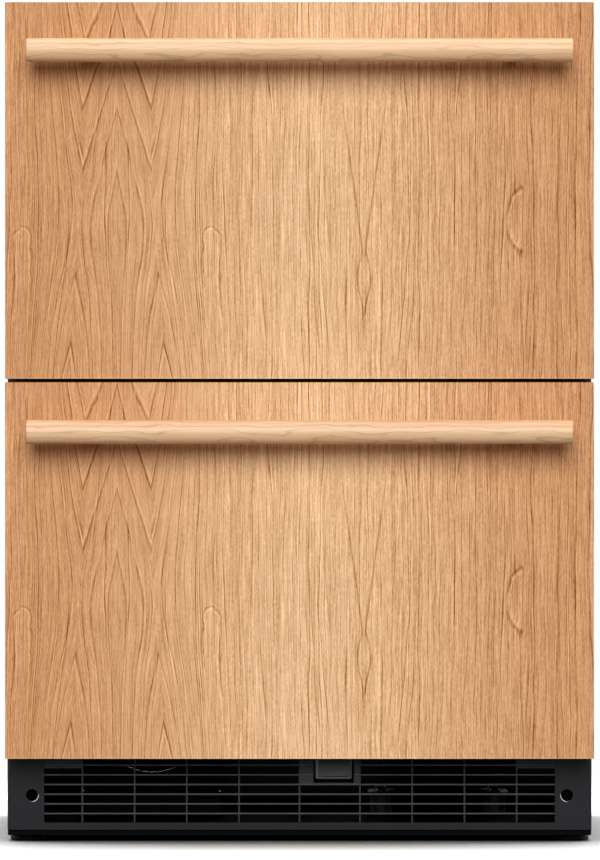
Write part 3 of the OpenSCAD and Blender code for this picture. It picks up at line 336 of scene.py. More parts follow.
def slat_noses(x, y, z):
    """Front edges of the louvres, where a highlight is painted, most at the top corner that faces the
    light.
    """
    beside = abs(x).step(SLATS_END_X + 0.5, SLATS_END_X - 0.5)
    between = z.step(SLATS_Z[0], SLATS_Z[0] + 1) * z.step(SLATS_Z[1], SLATS_Z[1] - 1)
    up_the_nose = (z - SLAT_TOP + 2.0).modulo(SLAT_PITCH)
    corner = up_the_nose.bell(1.6, 0.5) * 1.5 + 0.7
    return beside * between * y.step(NOSE_Y + 1.5, NOSE_Y) * corner


def lower_inner_side(x, y, z):
    """1 on the part of a screw well's rim where a highlight is painted, towards the middle and down."""
    inwards = (WELL_X - abs(x)) * 0.75 - (z - WELL_Z) * 0.66
    return (inwards / WELL_R).step(0.5, 0.95)


def recess_lip(x, y, z):
    """1 on the left edge of the switch recess, where a highlight is painted."""
    rise = x.step(RECESS_LEFT_X, RECESS_LEFT_X + 0.4)
    fall = x.step(RECESS_LEFT_X + 1.5, RECESS_LEFT_X + 1.1)
    return rise * fall * y.step(NOSE_Y + 1.0, NOSE_Y - 0.5)


# %% Black and white plastics
# Grille plastic, with a painted highlight on the louvres' front edges.
grille_black = plastic("grille_black", linear(26, 27, 29), gloss=0.5, grain=0.7, depth=0.02,
                       painted_highlight=slat_noses, Specular_IOR_Level=0.09)
# Near-black screws and well insides: painted shade of the deep screw wells.
screw_painted_shade = plastic("screw_painted_shade", linear(3, 3, 3), gloss=0.5, IOR=1.05)
well_painted_shade = plastic("well_painted_shade", linear(3, 3, 3), gloss=0.5, IOR=1.05)
# The wells' rims: dark plastic with a bright painted highlight on their lower inner side.
rim_painted_highlight = plastic("rim_painted_highlight", linear(30, 30, 31), gloss=0.35, painted_highlight=lower_inner_side, paler=60.0,
                   Specular_IOR_Level=0.3)
# The switch bezel, with a painted highlight on the recess's left edge.
bezel_black = plastic("bezel_black", linear(26, 27, 29), gloss=0.35, grain=0.8, depth=0.015,
                      painted_highlight=recess_lip, paler=14.0, Specular_IOR_Level=0.35)
rocker_black = plastic("rocker_black", linear(34, 35, 35), gloss=0.4, grain=0.6, depth=0.02,
                       Specular_IOR_Level=0.15)
part_black = plastic("part_black", linear(21, 21, 22), gloss=0.5, grain=1.2, depth=0.04,
                     Specular_IOR_Level=0.12, IOR=1.3)
liner_white = plastic("liner_white", linear(232, 235, 236), gloss=0.28, grain=1.4, depth=0.008,
                      drift=0.02)
bin_white = plastic("bin_white", linear(238, 241, 242), gloss=0.25, grain=1.2, depth=0.006,
                    drift=0.02)
fascia_grey = plastic("fascia_grey", linear(205, 208, 212), gloss=0.4, grain=0.6, drift=0.03)
button_white = plastic("button_white", linear(228, 229, 230), gloss=0.32, grain=0.6, depth=0.01,
                       drift=0.03)
light_cover = plastic("light_cover", linear(240, 240, 236), gloss=0.55, grain=0.5, depth=0.015,
                      drift=0.02)
fan_white = plastic("fan_white", linear(222, 224, 226), gloss=0.4, grain=1.0, depth=0.03, drift=0.03)
display_black = plastic("display_black", linear(22, 23, 26), gloss=0.08, grain=8.0, depth=0.004,
                        Coat_Weight=0.5, Coat_Roughness=0.03)
print("plastics:", len(bpy.data.materials))

# %% [markdown]
# ## Rubber
# The seals, the compressor's mounts and the feet's soles are soft. Rubber is matt, takes dust,
# and has a faint bloom that is lighter than its colour, so a wide noise lifts the colour here
# and there and the sheen at grazing angles is strong.

# %% Rubber finish
def rubber(name, colour, bloom):
    finish = Finish(name, Sheen_Weight=0.25, Sheen_Roughness=0.5)
    dust = finish.cloud(6, detail=5, roughness=0.65)
    fine = finish.cloud(0.5)
    return finish.done(finish.mix(dust.step(0.4, 0.8), colour, bloom), 0.62 + (dust - 0.5) * 0.3,
                       fine * 0.04 + dust * 0.03)


black_rubber = rubber("black_rubber", linear(34, 34, 35), linear(56, 55, 53))
seal_grey = rubber("seal_grey", linear(126, 128, 130), linear(150, 151, 152))

# %% [markdown]
# ## Painted and plated steel
# The cabinet's wrapper is dark powder-coated sheet, with the shallow orange peel that powder
# leaves. Galvanised sheet shows spangle: crystals of zinc as wide as a fingernail, each
# catching the light a little differently, which a Voronoi texture gives cell by cell. Small
# parts are zinc plated: bright, a bit cloudy, with drawing lines along the part.

# %% Painted steel
def paint(name, colour, gloss=0.45, mirror=0.15, **constants):
    finish = Finish(name, Specular_IOR_Level=mirror, **constants)
    peel = finish.cloud(2.2)
    cloud = finish.cloud(120, detail=3)
    speck = finish.cloud(0.35, detail=1)
    return finish.done(finish.mix(peel, colour, times(colour, 1.12)),
                       gloss + (cloud - 0.5) * 0.12 + (speck - 0.5) * 0.1,
                       peel * 0.08 + speck * 0.01,
                       level=1 + (cloud - 0.5) * 0.16 + (speck - 0.5) * 0.1)


case_paint = paint("case_paint", linear(21, 22, 24))
# The base pan's paint is a darker copy of the case paint: painted shade for the base rail and the
# machine room.
pan_painted_shade = paint("pan_painted_shade", linear(13, 13, 14), gloss=0.6, mirror=0.02, IOR=1.05)
compressor_paint = paint("compressor_paint", linear(13, 13, 14), gloss=0.55, mirror=0.05, IOR=1.15)


# %% Galvanised and zinc-plated steel
def galvanised(name, colour, crystal=11.0):
    finish = Finish(name, Metallic=0.9)
    shift = finish.cloud(14)
    x, y, z = [axis / crystal for axis in finish.at]
    _, facet = cells(finish.tree, x + shift, y + shift, z)
    edge, _ = cells(finish.tree, x + shift, y + shift, z, feature="DISTANCE_TO_EDGE")
    tone = finish.tree.nodes.new("ShaderNodeSeparateColor")
    finish.tree.links.new(facet, tone.inputs[0])
    spangle = Field(finish.tree, tone.outputs[0])
    stain = finish.cloud(160, 160, 220, detail=4, roughness=0.6)
    level = 0.9 + spangle * 0.12 + (stain - 0.5) * 0.3 - edge.step(0.05, 0.0) * 0.05
    return finish.done(finish.mix(stain, colour, times(colour, 0.85)),
                       0.46 + (spangle - 0.5) * 0.12 + (stain - 0.5) * 0.2,
                       spangle * 0.01 + edge.step(0.0, 0.1) * 0.01, level)


def plated(name, colour, gloss=0.3, along="x", metallic=0.95, line=0.35):
    finish = Finish(name, Metallic=metallic)
    stretch = {"x": (60, line, line), "y": (line, 60, line), "z": (line, line, 60)}[along]
    drawn = finish.cloud(*stretch, detail=3)
    cloud = finish.cloud(18, detail=4, roughness=0.6)
    bluer = [colour[0] * 0.9, colour[1] * 0.92, colour[2] * 0.97, 1]
    return finish.done(finish.mix(cloud, colour, bluer),
                       gloss + (cloud - 0.5) * 0.2 + (drawn - 0.5) * 0.18, drawn * 0.02,
                       level=0.94 + (drawn - 0.5) * 0.3 + (cloud - 0.5) * 0.24)


galvanised_steel = galvanised("galvanised_steel", linear(166, 169, 173))
slide_zinc = plated("slide_zinc", linear(172, 175, 180), gloss=0.36, along="y")
screw_zinc = plated("screw_zinc", linear(150, 153, 158), gloss=0.45, along="z", line=0.8)
ball_steel = plated("ball_steel", linear(214, 216, 220), gloss=0.12, line=2.0)
fin_aluminium = plated("fin_aluminium", linear(206, 208, 210), gloss=0.38, along="z")
motor_steel = plated("motor_steel", linear(150, 151, 154), gloss=0.42, along="y", metallic=0.8)
print("steels:", len(bpy.data.materials))

# %% [markdown]
# ## Copper, foam and clear plastic
# Copper pipe goes brown where hands and flux have touched it: a noise mixes bright copper with
# an oxide brown and dulls it there. Foam that was poured between steel and liner is cream,
# porous and matt. The dividers are clear plastic, so most light passes them, and their
# scratches show in the gloss.

# %% Copper, foam, clear plastic
def copper_pipe():
    finish = Finish("copper_pipe", Metallic=1.0)
    tarnish = finish.cloud(22, detail=5, roughness=0.65)
    worn = tarnish.step(0.42, 0.62)
    colour = finish.mix(worn, linear(206, 128, 90), linear(126, 74, 52))
    return finish.done(colour, 0.28 + worn * 0.3, tarnish * 0.03)


def poured_foam():
    finish = Finish("poured_foam", Subsurface_Weight=0.1, Subsurface_Scale=0.002)
    bubble, _ = cells(finish.tree, *[axis / 1.4 for axis in finish.at])
    lump = finish.cloud(16, detail=3)
    colour = finish.mix(lump, linear(226, 208, 150), linear(206, 182, 120))
    return finish.done(colour, 0.8 + (lump - 0.5) * 0.2, bubble * 0.25 + lump * 0.3)


def clear_plastic():
    finish = Finish("clear_plastic", Transmission_Weight=0.82, IOR=1.49, Coat_Weight=0.2,
                    Coat_Roughness=0.05)
    haze = finish.cloud(40, detail=4)
    scratch = finish.cloud(22, 3, 0.6, detail=3)
    colour = finish.mix(haze, linear(238, 244, 246), linear(228, 237, 240))
    return finish.done(colour, 0.08 + haze * 0.16 + (scratch - 0.5) * 0.1, scratch * 0.01)


pipe_copper = copper_pipe()
insulation = poured_foam()
divider_clear = clear_plastic()

# %% [markdown]
# ## The veneer
# The fronts are faced with crown-cut veneer, sliced from one log and laid book-matched: each
# leaf mirrors its neighbour, and both fronts are cut from the same leaves. What the eye reads
# as figure are growth rings, cut at a low angle. So the material makes a landscape of ring
# heights over the leaf, straight grain as a slope and a ridge where the knife crossed the rings
# flat, and draws a line wherever the height passes a whole number, as on a map. Each ring is a
# dark line of late wood, with a pale line beside it that is a painted highlight on the ring's
# edge. The blister, the tongue, the arrow and the lens are single closed rings, so they are
# drawn as outlines of their own; the tongue and the blister have a painted highlight inside.
# Fine fibres and pores run through all of it.

# %% The leaf and its figure
# Sizes are in millimetres; u runs across a leaf from one seam to the other, up from the bottom.
LEAF_W = 253.7
FIRST_SEAM_X = -187.5
SECOND_SEAM_X = FIRST_SEAM_X + LEAF_W
FRONT_Z = 87.5
FRONT_H = 387.0
FRONT_STEP = 390.5
SADDLE_UP = 165.0
TONGUE_U, TONGUE_UP = 96.6, 144.0
BLISTER_U, BLISTER_UP = 90.2, 163.0
BLISTER_HALF_W, BLISTER_HALF_H = 17.0, 33.0
LENS_UP = 104.0


def ramp(field, start, soft):
    """0 below start and rising one for one above it, with a soft turn between."""
    past = field - start
    return (past + (past * past + soft * soft).root()) * 0.5


def ring_heights(tree, x, z):
    """Fields: ring height, fibre place, place up the front and beside the tongue, outlines."""
    across = (x - FIRST_SEAM_X).pingpong(LEAF_W)
    up = (z - FRONT_Z).modulo(FRONT_STEP)
    figured = x.step(SECOND_SEAM_X + 4, SECOND_SEAM_X - 4)
    wave = (noise(tree, across / 30, 1.5, up / 95, detail=1) - 0.5) * 7.0
    crinkle = (noise(tree, across / 5, 7.5, up / 24, detail=2) - 0.5) * 1.0
    u = across + (wave + crinkle) * across.step(0.0, 12.0)
    # A ridge runs up the leaf and rises both ways from a saddle.
    above = ramp(up, SADDLE_UP, 30.0)
    below = ramp(-up, -SADDLE_UP, 30.0)
    ridge_height = above * 0.0172 - ramp(up, 275.0, 20.0) * 0.0038 + below * 0.0150 + 0.05
    ridge = ramp(-up, -200.0, 10.0) * 0.084 + 33.9
    off = abs(u - ridge)
    inner = (ridge - u).above(0.0)
    width = inner * 12.0 + 46.0
    height = ridge_height * off.bell(0.0, width) - off * (0.066 - inner * 0.016)
    # Spacing of the straight grain further out.
    straight = (noise(tree, u / 26, 3.3, up / 420, detail=1) - 0.5) * 2.6 - (u - 60.0) * 0.1
    height = height * figured.at_least(u.step(50.0, 90.0)) + straight * u.step(55.0, 100.0)
    height += (1.0 - figured) * u.step(100.0, 50.0) * straight
    # Arrowheads where the leaves meet at the first seam.
    height += ramp(up, 247.0, 8.0) * 0.009 * across.bell(0.0, 22.0) * figured
    # The tongue of one ring that rises from below, and the half blister on the far leaf.
    tongue_u = u - TONGUE_U - ramp(-up, -90.0, 20.0) * 0.08
    tongue_up = (up - TONGUE_UP).at_least(0.0) * 0.8
    ragged = noise(tree, u / 6, 6.1, up / 18, detail=1) - 0.5
    tongue = (tongue_u * tongue_u + tongue_up * tongue_up).root() + ragged * 7.0
    blister_u = (across - BLISTER_U) / BLISTER_HALF_W
    blister_up = (up - BLISTER_UP) / BLISTER_HALF_H
    blister = (blister_u * blister_u + blister_up * blister_up).root() + ragged * 0.2
    bulge = blister.step(1.1, 0.7) * blister_u.step(-0.1, 0.1)
    # The tongue's and the blister's outlines are dark lines with a paler band inside: a painted
    # highlight.
    outline = (tongue.bell(9.3, 0.8) - tongue.bell(7.2, 1.1) * 0.7) * figured * up.step(20.0, 110.0)
    blister_side = blister_u.bell(0.0, 0.045) * abs(blister_up).step(1.1, 0.9) * 0.5
    blister_rim = (blister.bell(1.0, 0.075) - blister.bell(0.86, 0.07) * 0.6) * blister_u.above(0.0)
    outline += (blister_rim + blister_side) * (1.0 - figured)
    # A thin arrow on the second seam, and the lens that hangs from its point.
    inside = LEAF_W - across
    arrow = (inside - ramp(up, 131.0, 12.0) * 0.14).bell(1.0, 0.8) * up.step(120.0, 135.0)
    lens = (inside - up.bell(LENS_UP, 24.0) * 6.5).bell(0.3, 0.8)
    lens *= up.step(58.0, 72.0) * up.step(136.0, 124.0)
    outline += (arrow * up.step(330.0, 240.0) + lens) * across.above(200.0) * 1.2
    # Fibres lean towards the seam on one side of the ridge and away from it on the other.
    lean = (above * 0.24 + below * 0.20) * figured
    fibre = u + lean * (inner * u / ridge - (1.0 - inner) * off.step(60.0, 0.0))
    fibre += (1.0 - figured) * bulge * 3.0
    return height, fibre, up, tongue_u, outline


def veneer():
    finish = Finish("crown_cut_veneer", Specular_IOR_Level=0.15)
    tree = finish.tree
    x, _, z = finish.at
    height, across, up, tongue_u, outline = ring_heights(tree, x, z)
    ring = height.floor()
    phase = height.fract()
    strength = white(tree, ring, 3.7, 1.1) * 0.6 + 0.4
    tone = white(tree, ring, 8.2, 5.5)
    patch = noise(tree, across / 9, 5.1, up / 60, detail=2).step(0.25, 0.5)
    dark = (phase.bell(0.0, 0.06) + phase.bell(1.0, 0.03)) * strength * patch
    # The pale line just after each dark one is a painted highlight on the ring's edge.
    light = phase.bell(0.13, 0.045) * strength
    late = phase.step(0.3, 1.0) * strength
    # Fibres in strips, each with a tone that changes along it; vessels are fine dark scratches.
    # They are not the same in two leaves, or the seams would draw faces.
    leaf = ((x - FIRST_SEAM_X) / LEAF_W).floor() * 7.3
    strip = across / 1.1 + noise(tree, across / 3, 9.9, up / 90, detail=1) * 1.5
    fibre = noise(tree, strip.floor() * 5.3, strip * 0.35 + leaf, up / 260, detail=3) - 0.5
    second = across / 0.7 + noise(tree, across / 2, 1.9, up / 60, detail=1) * 1.5
    vessel = noise(tree, second.floor() * 3.1, leaf, up / 34, detail=3, roughness=0.6) - 0.5
    pore = noise(tree, across / 0.5, leaf, up / 4, detail=1) - 0.5
    bands = noise(tree, across / 12, 4.5, up / 260, detail=2, roughness=0.6) - 0.5
    # Where the knife met the rings steeply they show as long thin lines: dark, with a painted highlight
    # beside each.
    sway = noise(tree, across / 13, 2.2, up / 240, detail=2) * 2.4
    count = across / 6.5 + sway
    place_in_line = count.fract()
    line_strength = white(tree, count.floor(), 6.3, 2.9).step(0.3, 1.0)
    clear = noise(tree, across / 10, 7.7, up / 200, detail=2).step(0.28, 0.5) * line_strength
    # Beside the tongue several of them run close together.
    close = (across / 2.7 + sway).fract()
    bundle = tongue_u.bell(-15.0, 5.5) * up.step(300.0, 180.0)
    long_dark = place_in_line.bell(0.5, 0.07) * clear + close.bell(0.5, 0.13) * bundle * 0.7
    long_painted_highlight = place_in_line.bell(0.68, 0.08) * clear + close.bell(0.85, 0.12) * bundle * 0.8
    smudge = tongue_u.bell(0.0, 5.0) * up.bell(190.0, 28.0)
    level = 1.03 + fibre * 0.7 + vessel * 1.8 + pore * 1.0 + bands * 0.4
    level = level - long_dark * 0.6 + long_painted_highlight * 0.25
    level = level - dark * 0.72 - late * 0.08 + light * 0.3 + (tone - 0.5) * 0.07 - smudge * 0.16
    level = level - outline * 0.42
    # The eased edges: a painted highlight along the bottom edge and painted shade along the top.
    level = level + up.step(1.4, 0.7) * 0.6 - up.step(FRONT_H - 1.0, FRONT_H - 0.3) * 0.3
    # Paler towards the middle of the fronts: partly the veneer's own tone, partly painted light that is
    # brightest in the middle.
    pale_middle_and_painted_light = x.bell(10.0, 168.0)
    ground = finish.mix(pale_middle_and_painted_light, linear(202, 145, 97), linear(230, 184, 138))
    tint = finish.mix(level - 0.5, (0.61, 0.5, 0.33, 1), (1.39, 1.5, 1.67, 1))
    return finish.done(mix(tree, 1.0, ground, tint, blend="MULTIPLY"),
                       0.55 + dark * 0.12 + fibre * 0.3,
                       fibre * 0.10 + vessel * 0.05 - dark * 0.08 + light * 0.04)


front_veneer = veneer()
print("veneer nodes:", len(front_veneer.node_tree.nodes))

# %% [markdown]
# ## Solid wood: handles, posts and edge bands
# The bars and posts are turned from a close-grained pale wood. Its rings run along the bar, so
# from the front they show as long, faint, uneven arches. A noise that is stretched along the
# bar gives the fibres, and a second one warps the rings. The fronts' edges have a band of the
# same wood as the face, with the grain along each edge.

# %% Wood finishes
def solid_wood(name, pale, dark, along="x", ring_mm=7.0, figure=0.16):
    finish = Finish(name, Specular_IOR_Level=0.3)
    x, y, z = finish.at
    length, side, up = {"x": (x, y, z), "y": (y, x, z), "z": (z, x, y)}[along]
    warp = (noise(finish.tree, length / 55, side / 14, up / 14) - 0.5) * 2.6
    ring = (up / ring_mm + side / (ring_mm * 1.3) + warp).fract()
    line = ring.bell(1.0, 0.12) + ring.bell(0.0, 0.05)
    fibre = noise(finish.tree, length / 22, side / 0.8, up / 0.8, detail=3)
    cloud = noise(finish.tree, length / 70, side / 20, up / 20)
    return finish.done(finish.mix(cloud, pale, dark), 0.36 + (fibre - 0.5) * 0.2,
                       fibre * 0.03 - line * 0.01, level=1.0 - line * figure + (fibre - 0.5) * 0.16)


bar_wood = solid_wood("bar_wood", linear(238, 198, 157), linear(224, 178, 133), figure=0.24)
post_wood = solid_wood("post_wood", linear(232, 188, 144), linear(218, 170, 124), along="y")
side_band = solid_wood("side_band", linear(214, 164, 116), linear(196, 144, 98), along="z", ring_mm=4.0)
top_band = solid_wood("top_band", linear(220, 172, 124), linear(200, 150, 104), ring_mm=4.0)
print("woods ready,", len(bpy.data.materials), "materials")

# %% [markdown]
# ## Making pieces
# A piece is drawn in a bmesh, Blender's modelling mesh, with the same operators that the
# editor's menus use. `publish` turns the bmesh into an object, smooths the faces that meet at a
# low angle, lets the piece ride on the body that carries it and hides the CAD solid that it
# stands for. The hidden solid gets the same finish, so that nothing in the frame is left plain.

# %% Publish a piece
SMOOTH_BELOW = math.radians(38)
DRAWERS = ("upper", "lower")
dressed = set()


def dress(material, *nodes):
    """Gives CAD nodes a finish in place of their plain one."""
    for node in nodes:
        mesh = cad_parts[node].data
        mesh.materials.clear()
        mesh.materials.append(material)
        dressed.add(node)


def publish(name, bm, material, body, node, others=()):
    """Makes a bmesh a piece that rides on a body and, if a node is given, takes its place."""
    bmesh.ops.recalc_face_normals(bm, faces=bm.faces)
    for face in bm.faces:
        face.smooth = True
    for edge in bm.edges:
        if len(edge.link_faces) == 2:
            edge.smooth = edge.calc_face_angle() < SMOOTH_BELOW
    mesh = bpy.data.meshes.new(name)
    bm.to_mesh(mesh)
    bm.free()
    for finish in (material, *others):
        mesh.materials.append(finish)
    piece = add_object(name, mesh)
    piece.modifiers.new("flat_faces_stay_flat", "WEIGHTED_NORMAL").keep_sharp = True
    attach(piece, body)
    if node:
        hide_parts(node)
        dress(material, node)
    print(f"{name}: {len(mesh.polygons)} faces")


def block(bm, low, high):
    """Adds a box between two corners and returns its vertices."""
    low, high = Vector(low), Vector(high)
    made = bmesh.ops.create_cube(bm, size=1.0)["verts"]
    bmesh.ops.scale(bm, verts=made, vec=high - low)
    bmesh.ops.translate(bm, verts=made, vec=(low + high) / 2)
    return made


def edges_of(verts):
    return list({edge for vert in verts for edge in vert.link_edges})


def bevel(bm, edges, width, segments=2):
    bmesh.ops.bevel(bm, geom=edges, offset=width, segments=segments, affect="EDGES",
                    profile=0.5, material=-1, clamp_overlap=True)


def rod(bm, start, end, radius, segments=32, radius_end=None):
    """Adds a cylinder, or a cone, from one point to another and returns its vertices."""
    start, end = Vector(start), Vector(end)
    made = bmesh.ops.create_cone(bm, cap_ends=True, segments=segments, radius1=radius,
                                 radius2=radius if radius_end is None else radius_end,
                                 depth=(end - start).length)["verts"]
    bmesh.ops.rotate(bm, verts=made, matrix=(end - start).to_track_quat("Z", "Y").to_matrix())
    bmesh.ops.translate(bm, verts=made, vec=(start + end) / 2)
    return made


def sharp_edges(bm, above=30.0, edges=None):
    """The edges, of all or of some, whose faces meet at more than an angle in degrees."""
    return [edge for edge in (edges or bm.edges)
            if len(edge.link_faces) == 2 and edge.calc_face_angle() > math.radians(above)]

# %% [markdown]
# ## The fronts
# Each front is a board of 19 mm with veneered faces and banded edges. A rounding of under a
# millimetre is all that separates a real board from a drawn box: it catches the line of light
# that shows along the top of each front. The mesh gets three materials, picked by the way each
# face looks.

# %% The two fronts
EDGE_ROUND = 0.8 * MM


def front_board(drawer):
    bm = bmesh.new()
    block(bm, *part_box(f"{drawer}_panel"))
    bevel(bm, bm.edges[:], EDGE_ROUND, segments=3)
    bm.normal_update()
    for face in bm.faces:
        normal = [abs(part) for part in face.normal]
        face.material_index = 0 if normal[1] > 0.3 else 1 if normal[0] > 0.5 else 2
    publish(f"{drawer}_front_board", bm, front_veneer, f"{drawer}_drawer", f"{drawer}_panel",
            others=(side_band, top_band))


for drawer in DRAWERS:
    front_board(drawer)

# %% [markdown]
# ## The bars
# A bar starts as a cylinder. Two bisecting planes take off the flats that were planed under
# and behind it, the cut edges are eased, and the ends get the round of a sanding disc.

# %% The two handle bars
BAR_R = 12.5 * MM


def handle_bar(drawer):
    low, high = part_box(f"{drawer}_handle")
    y, z = low.y + BAR_R, high.z - BAR_R
    bm = bmesh.new()
    rod(bm, (low.x, y, z), (high.x, y, z), BAR_R, segments=72)
    for point, away in (((0, 0, low.z), (0, 0, -1)), ((0, high.y, 0), (0, 1, 0))):
        cut = bmesh.ops.bisect_plane(bm, geom=bm.verts[:] + bm.edges[:] + bm.faces[:],
                                     plane_co=point, plane_no=away, clear_outer=True)
        rim = [e for e in cut["geom_cut"] if isinstance(e, bmesh.types.BMEdge)]
        bmesh.ops.holes_fill(bm, edges=rim)
    bm.normal_update()
    planed = [e for e in sharp_edges(bm, 12) if abs(e.verts[0].co.x - e.verts[1].co.x) > 0.1]
    bevel(bm, planed, 0.9 * MM, segments=3)
    ends = [e for e in sharp_edges(bm, 60) if abs(e.verts[0].co.x - e.verts[1].co.x) < 1e-5]
    bevel(bm, ends, 3.5 * MM, segments=6)
    publish(f"{drawer}_bar", bm, bar_wood, f"{drawer}_drawer", f"{drawer}_handle")


for drawer in DRAWERS:
    handle_bar(drawer)

# %% [markdown]
# ## Eased copies of CAD parts
# Many CAD parts have the right shape and only lack the small radius of a mould or a press
# brake. A CAD mesh is loose triangles, so a copy is merged first, its flat faces are joined
# again, and then the sharp edges are bevelled. Where a part has edges that stand very close
# together, the bevel's overlap clamp leaves its edges sharp.

# %% Eased copies
def eased(node, width, segments=2):
    bm = bmesh.new()
    bm.from_mesh(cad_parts[node].data)
    bmesh.ops.remove_doubles(bm, verts=bm.verts, dist=0.002 * MM)
    bmesh.ops.dissolve_limit(bm, angle_limit=math.radians(0.5), verts=bm.verts, edges=bm.edges)
    bm.normal_update()
    bevel(bm, sharp_edges(bm), width * MM, segments)
    return bm


def eased_piece(name, node, width, material, body="cabinet", segments=2):
    publish(name, eased(node, width, segments), material, body, node)


for name, node, width, material, slot in (
    ("switch_bezel", "switch_housing", 0.4, bezel_black, "switch_black"),
    ("well_screws", "grille_screws", 0.25, screw_painted_shade, "zinc_steel"),
    ("pan_tray", "base_pan", 0.3, pan_painted_shade, "case_steel"),
    ("machine_room_deck", "deck_plate", 0.3, galvanised_steel, "galvanised_steel"),
    ("liner_shell", "inner_liner", 0.8, liner_white, "liner_white"),
    ("middle_rail", "mullion", 0.3, case_paint, "case_steel"),
    ("fascia_body", "control_fascia", 0.8, fascia_grey, "fascia_grey"),
    ("light_diffusers", "light_bars", 1.2, light_cover, "light_cover"),
    ("channel_sections", "slide_channels", 0.4, slide_zinc, "zinc_steel"),
    ("cold_air_cover", "evaporator_cover", 0.7, liner_white, "liner_white"),
    ("cold_fan_motor", "evaporator_motor", 0.8, motor_steel, "motor_steel"),
    ("compressor_pot", "compressor", 0.8, compressor_paint, "compressor_black"),
    ("mount_rubbers", "compressor_grommets", 0.8, black_rubber, "black_rubber"),
    ("fan_shroud", "condenser_shroud", 0.5, part_black, "black_plastic"),
    ("warm_fan_motor", "condenser_motor", 0.8, motor_steel, "motor_steel"),
    ("melt_water_pan", "drain_pan", 0.6, part_black, "black_plastic"),
    ("machine_room_cover", "rear_cover", 0.3, case_paint, "case_steel"),
    ("cord_bush", "cord_gland", 0.5, part_black, "black_plastic"),
    ("bracket_tabs", "worktop_brackets", 0.3, screw_zinc, "zinc_steel"),
):
    eased_piece(name, node, width, material)

# %% [markdown]
# ## The grille
# The toe grille is one moulding. Its two screw wells are painted near-black inside, as painted shade
# of deep holes, and their rims carry a painted highlight. So the eased copy gets a second material in
# the wells, and round each well a small circle is spun into a lip, a fine torus half sunk in the face,
# which takes the painted highlight and can shine by itself.

# %% The grille, with painted highlights on the lips round its screw wells
LIP_R = 0.35 * MM


def grille():
    face_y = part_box("toe_grille")[0].y
    bm = eased("toe_grille", 0.35)
    # Faces inside the wells take the near-black material: painted shade.
    for face in bm.faces:
        at = face.calc_center_median()
        from_axis = math.hypot(abs(at.x) - WELL_X * MM, at.z - WELL_Z * MM)
        face.material_index = 1 if from_axis < WELL_R * MM and at.y > face_y + 0.2 * MM else 0
    moulded = set(bm.faces)
    for side in (-1, 1):
        axis = Vector((side * WELL_X * MM, face_y + 0.1 * MM, WELL_Z * MM))
        lip = bmesh.ops.create_circle(bm, cap_ends=False, segments=8, radius=LIP_R)["verts"]
        bmesh.ops.translate(bm, verts=lip, vec=axis + Vector(((WELL_R + 0.2) * MM, 0, 0)))
        bmesh.ops.spin(bm, geom=lip + edges_of(lip), cent=axis, axis=(0, 1, 0), angle=2 * math.pi,
                       steps=48, use_merge=True)
    # The lips take the rim material with its painted highlight.
    for face in set(bm.faces) - moulded:
        face.material_index = 2
    publish("louvred_grille", bm, grille_black, "cabinet", "toe_grille",
            others=(well_painted_shade, rim_painted_highlight))


grille()

# %% [markdown]
# ## Eased parts that move
# The rocker, the buttons, the fans and the drawers' parts are eased in the same way. Each rides
# on the body that carries it, so it moves with its joint.

# %% Eased parts that move
for name, node, width, material, slot, body, segments in (
    ("rocker_key", "switch_rocker", 0.7, rocker_black, "switch_black", "power_rocker", 3),
    ("colder_key", "button_colder", 0.8, button_white, "button_white", "colder_button", 3),
    ("warmer_key", "button_warmer", 0.8, button_white, "button_white", "warmer_button", 3),
    ("cold_fan_blades", "evaporator_fan", 0.3, fan_white, "fan_white", "evaporator_blades", 2),
    ("warm_fan_blades", "condenser_fan", 0.3, part_black, "fan_black", "condenser_blades", 2),
):
    eased_piece(name, node, width, material, body, segments)
for drawer in DRAWERS:
    for part, width, material, slot in (
        ("door_skin", 0.3, galvanised_steel, "galvanised_steel"),
        ("door_liner", 1.5, liner_white, "liner_white"),
        ("handle_posts", 0.4, post_wood, "handle_wood"),
        ("handle_screws", 0.6, screw_zinc, "zinc_steel"),
        ("slide_inner", 0.4, slide_zinc, "zinc_steel"),
    ):
        node = f"{drawer}_{part}"
        eased_piece(f"{node}_eased", node, width, material, f"{drawer}_drawer")
    middle = f"{drawer}_slide_middle"
    eased_piece(f"{middle}_eased", middle, 0.4, slide_zinc, f"{drawer}_slide")
    eased_piece(f"{drawer}_partition_plate", f"{drawer}_divider", 0.9, divider_clear,
                f"{drawer}_partition", 3)

# %% [markdown]
# ## The cabinet's wrapper
# Top and sides are one sheet, bent over a former, so the two upper edges are rounded rather
# than sharp. The sheet is modelled as a surface and then given its thickness inwards. In front,
# a flat frame closes it round the opening.

# %% Cabinet wrapper
def shell(bm, faces, thickness):
    """Gives a surface its thickness, on the inside."""
    bmesh.ops.recalc_face_normals(bm, faces=bm.faces)
    bmesh.ops.solidify(bm, geom=faces, thickness=thickness)


SHEET = 1 * MM
OPENING_X = 268 * MM
OPENING_Z = (118 * MM, 829 * MM)
FRAME_BOTTOM_Z = 84 * MM


